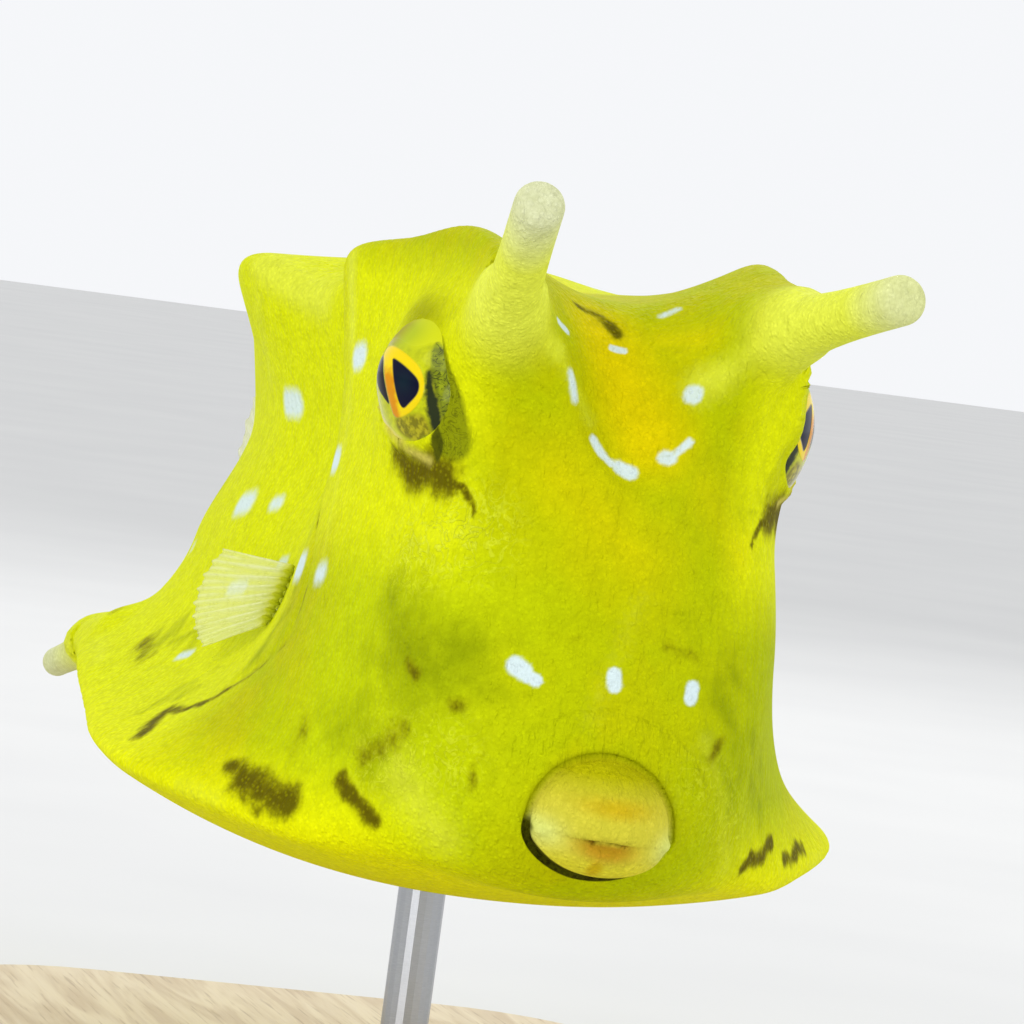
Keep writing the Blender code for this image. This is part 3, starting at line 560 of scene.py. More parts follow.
# Outline, across and up, of the painted shadow deep in the right eye's socket.
SOCKET_SHADOW_OUTLINE = ((-3.7, -2.4), (-3.0, -2.4), (-2.8, -3.5), (-3.1, -4.5), (-3.5, -4.6), (-3.9, -3.6))
RIM_LINE = ((4.2, 0.8), (3.95, -1.6), (1.65, -3.04), (-0.62, -4.12), (-2.6, -4.6))
LINES_OF_CHEEK = (
    ((10.5, -12.2, 25.0), (6.5, -9.6, 26.4), 2.2, 1),
    ((6.0, -9.0, 12.0), (9.5, -12.5, 11.0), 2.0, 0.7),
    ((4.6, 6.5, 12.0), (7.0, 10.0, 9.0), 1.8, 0.6),
)


def marked(points, marks, edge=1.0):
    """How strongly the marks show: half at a mark's radius, none half as far again."""
    level = np.zeros(len(points))
    for a, b, radius, strength in marks:
        near = held(0.5 + (1 - to_line(points, a, b) / radius) * edge)
        level = np.maximum(level, near * strength)
    return level


def wobbled(points, size):
    """The points moved to and fro a little, which makes a mark's edge uneven."""
    shift = sum(np.sin(points[:, [1, 2, 0]] * rate + points[:, [2, 0, 1]] * rate * 0.7 + rate) / rate
                for rate in (1.5, 3.4))
    return points + size * shift


def blob(points, middle, size):
    """1 in the middle of a soft round mark, fading outwards."""
    q = (points - np.array(middle)) / np.array(size)
    return np.exp(-(q**2).sum(-1))


def rounded(outline):
    """The outline with its corners cut off twice."""
    line = np.array(outline)
    for _ in range(2):
        after = np.roll(line, -1, axis=0)
        line = np.stack([0.75 * line + 0.25 * after, 0.25 * line + 0.75 * after], 1).reshape(-1, 2)
    return line


def inside_by(points, outline):
    """How far points lie inside a closed outline, below zero outside it."""
    line = rounded(outline)
    nearest = np.full(len(points), 99.0)
    inside = np.zeros(len(points), bool)
    for a, b in zip(line, np.roll(line, -1, axis=0)):
        nearest = np.minimum(nearest, to_line(points, a, b))
        over = (a[1] > points[:, 1]) != (b[1] > points[:, 1])
        rise = np.where(b[1] == a[1], 1e-9, b[1] - a[1])
        inside ^= over & (points[:, 0] < (b[0] - a[0]) * (points[:, 1] - a[1]) / rise + a[0])
    return np.where(inside, nearest, -nearest)


def near_line(points, line):
    """Distance of points from a line of several straight parts."""
    return np.min([to_line(points, np.array(a), np.array(b)) for a, b in zip(line, line[1:])], axis=0)


def set_shade(mesh, name, values):
    """Keeps on each point of a mesh how strongly a mark shows there."""
    layer = mesh.attributes.new(name, "FLOAT", "POINT")
    layer.data.foreach_set("value", np.asarray(values, np.float32))


s, y, z = body_points.T
folded = np.stack([s, np.abs(y), z], -1)
u, w, beyond_mouth = mouth_frame(y, z)
mouth_turn = np.degrees(np.arctan2(w, u))
near_mouth = (s < 6) & (beyond_mouth < 3)
axis, across, up = eye_frame(s, y, z)
flat_eye = np.stack([across, up], -1)
at_eye = (axis > -1.5) & (np.hypot(across, up) < 9)
horn_way = [np.array(tip) - np.array(root) for root, tip in HORNS.values()]
horn_far = [(body_points - np.array(root)) @ way / np.linalg.norm(way)
            for (root, tip), way in zip(HORNS.values(), horn_way)]
horn_near = [to_line(body_points, root, tip) for root, tip in HORNS.values()]
spine_way = np.array(SPINE[1]) - np.array(SPINE[0])
spine_far = (folded - np.array(SPINE[0])) @ spine_way / np.linalg.norm(spine_way)
spine_near = to_line(folded, *SPINE)
ridge_gap = np.hypot(np.abs(y) - along(RIDGE_S, RIDGE_Y, s), z - along(RIDGE_S, RIDGE_Z, s))

# Round the mouth the groove gets a painted shadow. Its half width and its darkness are
# told for the directions of turn_at, in degrees from the mouth's left corner.
turn_at = (-180, -160, -120, -90, -60, -20, 20, 60, 120, 150, 172, 180)
groove_shadow_wide = np.interp(mouth_turn, turn_at, (0.16, 0.2, 0.16, 0.08, 0.04, 0, 0, 0, 0, 0.02, 0.08, 0.16))
groove_shadow_dark = np.interp(mouth_turn, turn_at, (1, 1, 1, 1, 0.9, 0.3, 0.5, 0.4, 0.45, 0.6, 1, 1))
horn_pale = sum(held((far - 1) / 9) * (near < 4.5) * held((4.5 - near) / 2)
                for far, near in zip(horn_far, horn_near))
horn_tip = sum(held((far - 15) / 7.5) * (near < 3) for far, near in zip(horn_far, horn_near))
spine_pale = held((spine_far - 7) / 11) * (spine_near < 3.5)
behind = held((s - 28) / 6)
shades = {
    "spot": np.maximum(marked(body_points, SPOTS), 0.85 * marked(folded, SIDE_SPOTS, 0.7)),
    # brown blotches, and painted shade along the gill crease and the flank grooves
    "brown": np.maximum(marked(wobbled(body_points, 0.28), BROWN, 0.6),
                        marked(wobbled(folded, 0.28), SIDE_BROWN_AND_CREASE_SHADE, 0.6)),
    # olive patches, and painted shade in hollows and creases
    "olive": np.maximum(marked(wobbled(body_points, 1.4), OLIVE_AND_SHADE, 0.6),
                        marked(wobbled(folded, 1.4), SIDE_OLIVE_AND_SHADE, 0.6)),
    "temple": held((np.abs(y) + 1.6 * (y > 0) - 8.0) / 2.5) * held((44.5 - z) / 3)
    * held((z - 21) / 5) * held((33 - s) / 4),
    "pale": np.maximum(marked(body_points, PALE, 0.55), marked(folded, SIDE_PALE, 0.55))
    + 0.35 * behind * np.exp(-(ridge_gap / 2.5) ** 2),
    "gold": marked(body_points, GOLD, 0.5),
    # painted light: the underside is made brighter as if lit from below
    "underside_lit_from_below": held((10.5 - z) / 6) * held((s - 4) / 6),
    # painted shade on the left of the head, the side turned away from the key light
    "left_head_shade": held((y + 2) / 14) * held((24 - s) / 8) * held((38 - z) / 12),
    "cheek": held((-y - 2) / 8) * held((24 - s) / 8) * held((30 - z) / 6),
    "behind": behind,
    "horn": held(horn_pale),
    "tip": held(horn_tip + 0.9 * spine_pale),
    "creased": marked(body_points, LINES_OF_CHEEK, 0.5),
    "lips": held((0.25 - beyond_mouth) / 0.3) * (s < 4.5),
    "lip_top": held((w - 2.0) / 2.2) * near_mouth,
    # painted light: the shaded underside of the lower lip is brightened
    "lip_underside_painted_light": held((-0.9 - w) / 0.8) * near_mouth,
    "lip_pink": np.where(w < 0.1, 1.0, 0.3) * near_mouth
    * np.exp(-((u + 0.2) / 2.3) ** 2 - ((w + 0.35) / 0.95) ** 2),
    "lip_orange": near_mouth * (0.85 * np.exp(-((u - 0.2) / 3.0) ** 2 - ((w - 2.3) / 0.85) ** 2)
                                + np.exp(-((u + 0.6) / 0.6) ** 2 - ((w + 1.7) / 0.7) ** 2)),
    "lip_pale": near_mouth * held(np.exp(-((u + 4.2) / 1.3) ** 2 - (w / 0.95) ** 2)
                                     + np.exp(-((u - 4.4) / 1.2) ** 2 - ((w + 0.2) / 1.1) ** 2)),
    # painted shadow in the slit between the lips
    "lip_slit_shadow": np.exp(-(w / 0.17) ** 2) * held((2.0 - np.abs(u + 0.2)) / 1.2) * near_mouth,
    # painted shadow in the groove round the lips
    "groove_shadow": near_mouth * np.exp(-(np.clip(np.abs(beyond_mouth - 0.1) - groove_shadow_wide, 0, 9) / 0.14) ** 2) * groove_shadow_dark,
    # painted shade along the groove's upper fold
    "groove_fold_shade": near_mouth * np.exp(-((beyond_mouth - 0.25) / 0.3) ** 2) * (w > 0),
    "lid": at_eye * np.exp(-(near_line(flat_eye, RIM_LINE) / 0.3) ** 2),
    # painted shadow deep in the right eye's socket
    "socket_shadow": at_eye * (y < 0) * held(0.5 + 2 * inside_by(flat_eye, SOCKET_SHADOW_OUTLINE)),
    # painted shade in the recess in front of the eye, full on the right eye and faint on the left
    "socket": at_eye * np.where(y < 0, 1, 0.25) * held(0.5 + 2.5 * inside_by(flat_eye, SHADED_SOCKET)),
    "eye_top": at_eye * np.exp(-((across - 1.0) / 3.2) ** 2 - ((up - 4.7) / 1.5) ** 2),
}
for name, values in shades.items():
    set_shade(body_mesh, name, values)


class Wire:
    """The value on a node's socket, so that sums on it add their Math nodes."""

    def __init__(self, finish, socket):
        self.finish, self.socket = finish, socket

    def math(self, operation, a, b):
        return self.finish.node("ShaderNodeMath", {"operation": operation}, {0: a, 1: b})

    def __add__(self, other):
        return self.math("ADD", self, other)

    def __sub__(self, other):
        return self.math("SUBTRACT", self, other)

    def __rsub__(self, other):
        return self.math("SUBTRACT", other, self)

    def __mul__(self, other):
        return self.math("MULTIPLY", self, other)

    __radd__ = __add__
    __rmul__ = __mul__


class Finish:
    """One material's nodes, with lengths told in millimetres."""

    def __init__(self, name, roughness, specular=0.5, metallic=0.0):
        self.material = bpy.data.materials.new(name)
        self.material.use_nodes = True
        self.tree = self.material.node_tree
        self.shader = self.tree.nodes["Principled BSDF"]
        self.shader.inputs["Roughness"].default_value = roughness
        self.shader.inputs["Specular IOR Level"].default_value = specular
        self.shader.inputs["Metallic"].default_value = metallic
        spot = self.node("ShaderNodeTexCoord", {}, {}, "Object")
        self.place = self.node("ShaderNodeVectorMath", {"operation": "MULTIPLY"}, {0: spot, 1: (1 / MM,) * 3})

    def node(self, kind, settings, values, out=0):
        """The output of a new node of any kind."""
        node = self.tree.nodes.new(kind)
        for name, value in settings.items():
            setattr(node, name, value)
        for name, value in values.items():
            if isinstance(value, Wire):
                self.tree.links.new(value.socket, node.inputs[name])
            else:
                node.inputs[name].default_value = value
        return Wire(self, node.outputs[out])

    def shade(self, name):
        return self.node("ShaderNodeAttribute", {"attribute_name": name}, {}, "Fac")

    def stretched(self, scale):
        return self.node("ShaderNodeVectorMath", {"operation": "MULTIPLY"}, {0: self.place, 1: scale})

    def noise(self, scale, detail=2.0, distortion=0.0, where=None):
        values = {"Vector": where or self.place, "Scale": scale, "Detail": detail, "Distortion": distortion}
        return self.node("ShaderNodeTexNoise", {}, values, 0)

    def cells(self, scale, feature="F1"):
        values = {"Vector": self.place, "Scale": scale}
        return self.node("ShaderNodeTexVoronoi", {"feature": feature}, values, "Distance")

    def step(self, value, low, high):
        """0 below low, 1 above high, and smooth between them."""
        values = {"Value": value, "From Min": low, "From Max": high}
        return self.node("ShaderNodeMapRange", {"interpolation_type": "SMOOTHSTEP"}, values)

    def mix(self, a, b, amount):
        """Colour a with as much of colour b as amount says."""
        return self.node("ShaderNodeMix", {"data_type": "RGBA"}, {0: amount, 6: a, 7: b}, 2)

    def bump(self, height):
        """Raises the surface by a height in millimetres."""
        normal = self.node("ShaderNodeBump", {}, {"Height": height, "Distance": MM, "Strength": 1.0}, "Normal")
        self.feed("Normal", normal)

    def from_middle(self, noise):
        """How far a noise is from its middle value."""
        return self.node("ShaderNodeMath", {"operation": "ABSOLUTE"}, {0: noise - 0.5})

    def feed(self, name, wire):
        self.tree.links.new(wire.socket, self.shader.inputs[name])


def tone(red, green, blue):
    """A colour told in the usual 0 to 255 steps."""
    steps = [c / 255 for c in (red, green, blue)]
    return tuple(c / 12.92 if c <= 0.04045 else ((c + 0.055) / 1.055) ** 2.4 for c in steps) + (1.0,)


def skin_finish(name):
    """Matt yellow skin of fine grains, with pale spots and brown blotches, and with painted shade and light in
    places.
    """
    f = Finish(name, 0.6, 0.03)
    broad = f.noise(0.22, 3)
    patchy = f.noise(0.9, 3)
    fine = f.noise(3.2, 3)
    grain = f.cells(2.6)
    colour = f.mix(tone(200, 201, 0), tone(191, 202, 0), f.step(broad, 0.35, 0.65))
    colour = f.mix(colour, tone(202, 218, 4), f.shade("cheek"))
    # painted shade: the left of the head is darkened
    colour = f.mix(colour, tone(182, 198, 0), f.shade("left_head_shade") * 0.85)
    colour = f.mix(colour, tone(236, 243, 8), f.shade("temple") * 0.9)
    colour = f.mix(colour, tone(232, 240, 8), f.shade("behind"))
    colour = f.mix(colour, tone(240, 219, 0), f.step(f.shade("gold") + (broad - 0.5) * 0.4, 0.1, 0.9))
    # painted light from below on the underside
    colour = f.mix(colour, tone(254, 255, 0), f.shade("underside_lit_from_below"))
    # olive patches, and painted shade in hollows and creases
    olive = f.step(f.shade("olive") + (patchy - 0.5) * 0.5 * f.shade("olive"), 0.05, 1.0)
    colour = f.mix(colour, tone(132, 148, 0), olive * 0.85)
    colour = f.mix(colour, tone(236, 244, 66), f.step(f.shade("pale") + (fine - 0.5) * 0.5, 0.15, 1.0))
    colour = f.mix(colour, tone(243, 251, 84), f.step(f.shade("horn"), 0.0, 0.8))
    colour = f.mix(colour, tone(226, 229, 186), f.shade("tip"))
    creases = 1 - f.step(f.from_middle(f.noise(0.75, 2, 1.6)), 0.0, 0.05)
    colour = f.mix(colour, tone(232, 242, 60), creases * f.shade("creased") * 0.9)
    # brown blotches, with painted shade along the creases of the sides
    brown = f.shade("brown")
    colour = f.mix(colour, tone(138, 132, 0), f.step(brown + (patchy - 0.5) * 0.8 * brown, 0.05, 0.75) * 0.8)
    blotch = f.step(brown + (fine - 0.5) * 0.5 + (patchy - 0.5) * 0.9, 0.25, 0.95)
    colour = f.mix(colour, tone(86, 72, 2), blotch * (0.55 + 0.45 * f.step(grain, 0.1, 0.5)))
    colour = f.mix(colour, tone(150, 152, 10), f.shade("eye_top") * 0.8)
    # painted shade of the recess in front of the eye: dark olive with dark veins
    veins = 1 - f.step(f.from_middle(f.noise(0.9, 2, 2.0)), 0.0, 0.035)
    socket = f.mix(f.mix(tone(104, 112, 8), tone(140, 150, 10), patchy), tone(34, 38, 6), veins * 0.8)
    colour = f.mix(colour, socket, f.shade("socket") * 0.9)
    # painted shadow deep in the right eye's socket
    colour = f.mix(colour, tone(30, 36, 10), f.step(f.shade("socket_shadow") + (fine - 0.5) * 0.5, 0.2, 0.8) * 0.9)
    colour = f.mix(colour, tone(216, 202, 96), f.shade("lid") * 0.85)
    spot = f.step(f.shade("spot") + (fine - 0.5) * 0.3, 0.2, 0.75) * 0.92
    colour = f.mix(colour, tone(214, 232, 240), spot)
    lip = f.mix(tone(222, 212, 64), tone(190, 186, 6), f.shade("lip_top"))
    # painted light: the shaded underside of the lower lip is brightened
    lip = f.mix(lip, tone(244, 234, 60), f.shade("lip_underside_painted_light"))
    lip = f.mix(lip, tone(214, 176, 4), f.step(f.shade("lip_orange") + (fine - 0.5) * 0.3, 0.1, 1.0) * 0.8)
    lip = f.mix(lip, tone(186, 128, 22), f.step(f.shade("lip_pink"), 0.05, 0.95) * 0.85)
    lip = f.mix(lip, tone(232, 238, 128), f.shade("lip_pale"))
    # painted shadow in the slit between the lips
    lip = f.mix(lip, tone(84, 34, 4), f.step(f.shade("lip_slit_shadow") + (fine - 0.5) * 0.6, 0.2, 0.8) * 0.9)
    colour = f.mix(colour, lip, f.shade("lips"))
    # painted shade on the groove's upper fold, then painted shadow in the groove
    colour = f.mix(colour, tone(118, 116, 0), f.shade("groove_fold_shade") * 0.5)
    colour = f.mix(colour, tone(22, 16, 2), f.step(f.shade("groove_shadow"), 0.2, 0.8))
    shaded = f.step(grain, 0.15, 0.6) * 0.13 + f.step(fine, 0.3, 0.7) * 0.1 + f.step(patchy, 0.3, 0.7) * 0.1
    colour = f.mix(colour, tone(120, 124, 0), shaded * (1 - spot))
    f.feed("Base Color", colour)
    plates = f.cells(0.19, "DISTANCE_TO_EDGE")
    plate_line = (1 - f.step(plates, 0.0, 0.09)) * f.shade("behind")
    wrinkles = f.noise(1.0, 3, 0.6, f.stretched((1.9, 1.9, 0.7)))
    lip_lines = f.noise(1.0, 2, 0.3, f.stretched((2.6, 1.0, 0.5)))
    height = (1 - f.step(grain, 0.0, 0.55)) * 0.07 + wrinkles * 0.24 + fine * 0.08
    height = height - plate_line * 0.06 - f.shade("socket") * 0.25
    height = height + creases * f.shade("creased") * 0.05 + lip_lines * f.shade("lip_top") * 0.3
    f.bump(height)
    f.feed("Roughness", 0.52 + fine * 0.2)
    return f.material


def cut_piece(name, finish, keep, *nodes, slot):
    """The chosen part of the body's surface as a piece of its own."""
    bm = bmesh.new()
    bm.from_mesh(body_mesh)
    outside = [face for face in bm.faces if not keep[face.verts[0].index]]
    bmesh.ops.delete(bm, geom=outside, context="FACES")
    mesh = made_mesh(bm, name)
    mesh.shade_smooth()
    origin = np.empty(len(mesh.vertices), np.int32)
    mesh.attributes["origin"].data.foreach_get("value", origin)
    mesh.normals_split_custom_set_from_vertices([tuple(body_normals[i]) for i in origin])
    mesh.attributes.remove(mesh.attributes["origin"])
    mesh.materials.append(finish)
    piece = set_out(name, mesh)
    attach(piece, "root")
    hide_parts(*nodes)


body_normals = np.empty(len(body_mesh.vertices) * 3, np.float32)
body_mesh.vertices.foreach_get("normal", body_normals)
body_normals = body_normals.reshape(-1, 3)
layer = body_mesh.attributes.new("origin", "INT", "POINT")
layer.data.foreach_set("value", np.arange(len(body_mesh.vertices), dtype=np.int32))
on_horn = [(far > HORN_CUT + 0.4) & (near < 4) for far, near in zip(horn_far, horn_near)]
on_spine = (spine_far > SPINE_CUT + 0.4) & (spine_near < 3.5)
skin_material = skin_finish("yellow_skin")
cut_piece("skin", skin_material, ~(on_horn[0] | on_horn[1] | on_spine),
          "head", "trunk", "tail_stalk", "lip_upper", "lip_lower", slot="skin")


# Two horns over the eyes and two spines at the rear end of the lower ridges.
# They are bone that grows out of the shell, under the same skin, paler to the
# blunt tips.
for side, chosen in zip(HORNS, on_horn):
    cut_piece("horn_" + side + "_bone", skin_material, chosen, "horn_" + side, slot="horn")
for side, hand in (("left", 1), ("right", -1)):
    cut_piece("rear_spine_" + side + "_bone", skin_material, on_spine & (y * hand > 0),
              "rear_spine_" + side, slot="horn")
bpy.data.meshes.remove(body_mesh)


# Two eyes under a clear skin, flat in front and set deep in the head. The pupil
# is a dark drop with a thin gold ring and a gold bar behind it. The rest of the
# eye is marked like the skin round it. Outlines are told as across and up, and
# the left eye's pupil is turned a little forwards.
RING = ((1.15, 2.44), (0.0, 2.24), (-1.15, 1.80), (-1.98, 1.27), (-2.46, 0.48), (-2.50, -0.35),
        (-2.07, -1.12), (-1.37, -1.72), (-0.44, -2.14), (0.32, -2.16), (0.42, -1.40), (0.55, -0.60),
        (0.80, 0.47), (1.28, 1.35), (2.2, 1.85), (2.1, 2.3))
PUPIL = ((0.52, 1.72), (-0.51, 1.41), (-1.43, 0.93), (-2.02, 0.49), (-2.17, -0.01), (-1.98, -0.55),
         (-1.44, -1.07), (-0.85, -1.56), (-0.50, -1.24), (-0.28, -0.38), (-0.04, 0.56), (0.24, 1.25))
REAR_DARK = ((2.40, 1.55), (2.55, 0.70), (2.36, 0.10), (1.77, -0.55), (1.06, -1.05), (0.47, -1.50),
             (0.56, -0.72), (0.82, 0.25), (1.30, 1.25), (1.90, 1.80))
FRONT_DARK = ((-2.45, 1.10), (-2.66, 1.30), (-3.05, 0.40), (-3.45, -0.60), (-3.70, -1.84), (-3.65, -2.85),
              (-3.00, -3.50), (-2.90, -3.20), (-2.86, -1.97), (-2.62, -0.73))
FRONT_OLIVE = ((-2.11, 3.26), (-3.20, 2.53), (-4.10, 1.60), (-4.66, 0.40), (-4.90, -0.75), (-4.60, -2.10),
               (-3.70, -3.20), (-3.74, -1.83), (-3.50, -0.58), (-2.95, 0.63), (-2.33, 2.19))
LOW_IRIS = ((0.30, -2.10), (-1.50, -1.75), (-2.50, -1.60), (-2.90, -2.72), (-2.40, -3.40),
            (-0.90, -3.60), (0.40, -3.00))
OPENING = ((4.2, 1.2), (3.95, -1.6), (1.65, -3.04), (-0.62, -4.12), (-2.6, -4.6), (-4.2, -4.0), (-5.0, -1.0),
           (-4.4, 1.6), (-2.4, 3.2), (-1.0, 2.3), (1.2, 2.9), (2.8, 2.4))
GLINT = ((-2.0, -3.15), (-2.9, -3.05), (-3.25, -3.4), (-3.0, -3.95), (-2.12, -4.4), (-1.6, -4.0))


def eye_finish():
    """Wet and clear over navy, gold and olive."""
    f = Finish("eye", 0.12, 0.12)
    speck = f.noise(2.4, 3)
    veins = 1 - f.step(f.from_middle(f.noise(0.9, 2, 2.0)), 0.0, 0.035)
    edge = 0.07
    colour = f.mix(tone(198, 204, 6), tone(178, 184, 8), f.step(speck, 0.35, 0.7))
    dome = f.mix(tone(168, 184, 30), tone(146, 136, 20), f.shade("dome_rear"))
    colour = f.mix(colour, tone(212, 216, 2), f.shade("beyond_rim"))
    colour = f.mix(colour, tone(218, 204, 98), f.shade("rim"))
    colour = f.mix(colour, dome, f.shade("dome") * 0.85)
    low = f.step(f.shade("low_iris"), -0.25, 0.3)
    colour = f.mix(colour, f.mix(tone(122, 116, 8), tone(176, 168, 24), f.step(speck, 0.4, 0.65)), low)
    colour = f.mix(colour, tone(150, 182, 10), f.step(f.shade("glint"), -0.25, 0.25) * 0.9)
    olive = f.mix(tone(112, 122, 12), tone(146, 158, 16), f.step(speck, 0.35, 0.7))
    olive = f.mix(olive, tone(36, 42, 8), veins * 0.8)
    colour = f.mix(colour, olive, f.step(f.shade("front_olive"), -0.15, 0.12))
    colour = f.mix(colour, tone(38, 46, 18), f.step(f.shade("front_dark") + (speck - 0.5) * 0.5, -0.3, 0.2))
    colour = f.mix(colour, tone(3, 6, 16), f.step(f.shade("rear_dark"), -edge, edge))
    gold = f.mix(tone(236, 208, 0), tone(214, 140, 0), f.step(f.shade("bar") + (speck - 0.5) * 0.5, 0.2, 0.8))
    colour = f.mix(colour, gold, f.step(f.shade("ring"), -edge, edge))
    # painted reflection: a faint teal glow in the pupil
    pupil = f.mix(tone(0, 0, 34), tone(2, 26, 40), f.shade("pupil_reflection"))
    colour = f.mix(colour, pupil, f.step(f.shade("pupil"), -edge, edge))
    f.feed("Base Color", colour)
    f.bump(f.step(f.shade("ring"), -0.1, 0.1) * 0.06 - f.step(f.shade("pupil"), -0.1, 0.1) * 0.06)
    clear = f.step(f.shade("opening"), -0.6, 0.2)
    f.feed("Roughness", 0.55 - 0.43 * clear)
    f.feed("Coat Weight", 0.05 * clear)
    f.shader.inputs["Coat Roughness"].default_value = 0.04
    return f.material


EYE_BACK = 4.4
BULGE_AT, BULGE_WIDE = (1.3, 0.9), 2.8
OFF_THE_FRONT = 9.0


def make_eye(side, hand, bulge, shift, finish):
    """One eye. Its front is swollen by bulge, and its pupil and ring lie shift aside."""
    rings = 66
    spokes = 192
    bm = bmesh.new()
    turn = np.linspace(0, 2 * math.pi, spokes, endpoint=False)
    rows, flat = [], []
    for i in range(1, rings + 14):
        lean = math.pi / 2 * (i / rings if i <= rings else 1 + (i - rings) / 14)
        radius, deep = EYE_RADIUS * math.sin(lean), math.cos(lean)
        across, up = radius * np.cos(turn), radius * np.sin(turn)
        out = deep * (EYE_FRONT if deep > 0 else EYE_BACK) + 0 * turn
        if deep > 0:
            aside = np.hypot(across - BULGE_AT[0], up - BULGE_AT[1]) / BULGE_WIDE
            out = out + bulge * np.exp(-(aside**2)) * min(1, deep * 6)
        s = EYE_PLACE[0] - math.sin(EYE_TURN) * out + math.cos(EYE_TURN) * across
        y = EYE_PLACE[1] + math.cos(EYE_TURN) * out + math.sin(EYE_TURN) * across
        rows.append([bm.verts.new(p) for p in place(s, hand * y, EYE_PLACE[2] + up)])
        flat.append(np.stack([across, up], -1) if deep > 0 else np.full((spokes, 2), OFF_THE_FRONT))
    for a, b in zip(rows, rows[1:]):
        for j in range(spokes):
            bm.faces.new((a[j], b[j], b[(j + 1) % spokes], a[(j + 1) % spokes]))
    bm.faces.new(rows[0])
    bm.faces.new(list(reversed(rows[-1])))
    bmesh.ops.recalc_face_normals(bm, faces=bm.faces)
    mesh = made_mesh(bm, "eye_ball_" + side)
    points = np.concatenate(flat)
    turned = points + np.array(shift)
    for name, outline in (("ring", RING), ("pupil", PUPIL), ("rear_dark", REAR_DARK), ("front_dark", FRONT_DARK),
                          ("front_olive", FRONT_OLIVE), ("low_iris", LOW_IRIS), ("glint", GLINT)):
        own = turned if name in ("ring", "pupil", "rear_dark") else points
        set_shade(mesh, name, inside_by(own, outline))
    set_shade(mesh, "bar", held((turned[:, 0] + 0.75) / 0.9) * held((1.6 - turned[:, 1]) / 1.5))
    # painted reflection: a faint teal glow in the pupil
    set_shade(mesh, "pupil_reflection", blob(turned, (-0.9, 0.2), (0.7, 0.8)))
    set_shade(mesh, "dome", held(1.3 * blob(points, (1.0, 3.3), (2.2, 1.2))))
    set_shade(mesh, "dome_rear", held((points[:, 0] - 0.2) / 1.6))
    set_shade(mesh, "rim", np.exp(-(near_line(points, RIM_LINE) / 0.3) ** 2))
    set_shade(mesh, "beyond_rim", held(0.5 - 3 * inside_by(points, OPENING)))
    set_shade(mesh, "opening", inside_by(points, OPENING))
    mesh.shade_smooth()
    mesh.materials.append(finish)
    ball = set_out("eye_ball_" + side, mesh)
    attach(ball, "root")
    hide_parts("eye_" + side)


eye_material = eye_finish()
make_eye("left", 1, 0.25, (0.85, -0.5), eye_material)
make_eye("right", -1, 0.85, (0.0, 0.0), eye_material)


# Five fins of clear skin over soft rays that fork towards the rim. The rays are
# ridges of the fin's own surface, and each fin stands on a low fleshy foot.
def fin_finish():
    f = Finish("clear_fin", 0.45, 0.2)
    fine = f.noise(2.0, 3)
    colour = f.mix(tone(230, 234, 150), tone(240, 242, 206), f.shade("ray"))
    colour = f.mix(colour, tone(196, 200, 40), f.shade("foot"))
    colour = f.mix(colour, tone(176, 182, 60), f.step(fine, 0.45, 0.75) * 0.35)
    f.feed("Base Color", colour)
    f.feed("Alpha", 0.34 + f.shade("ray") * 0.22 + f.shade("foot") * 0.5)
    f.bump(fine * 0.04)
    return f.material


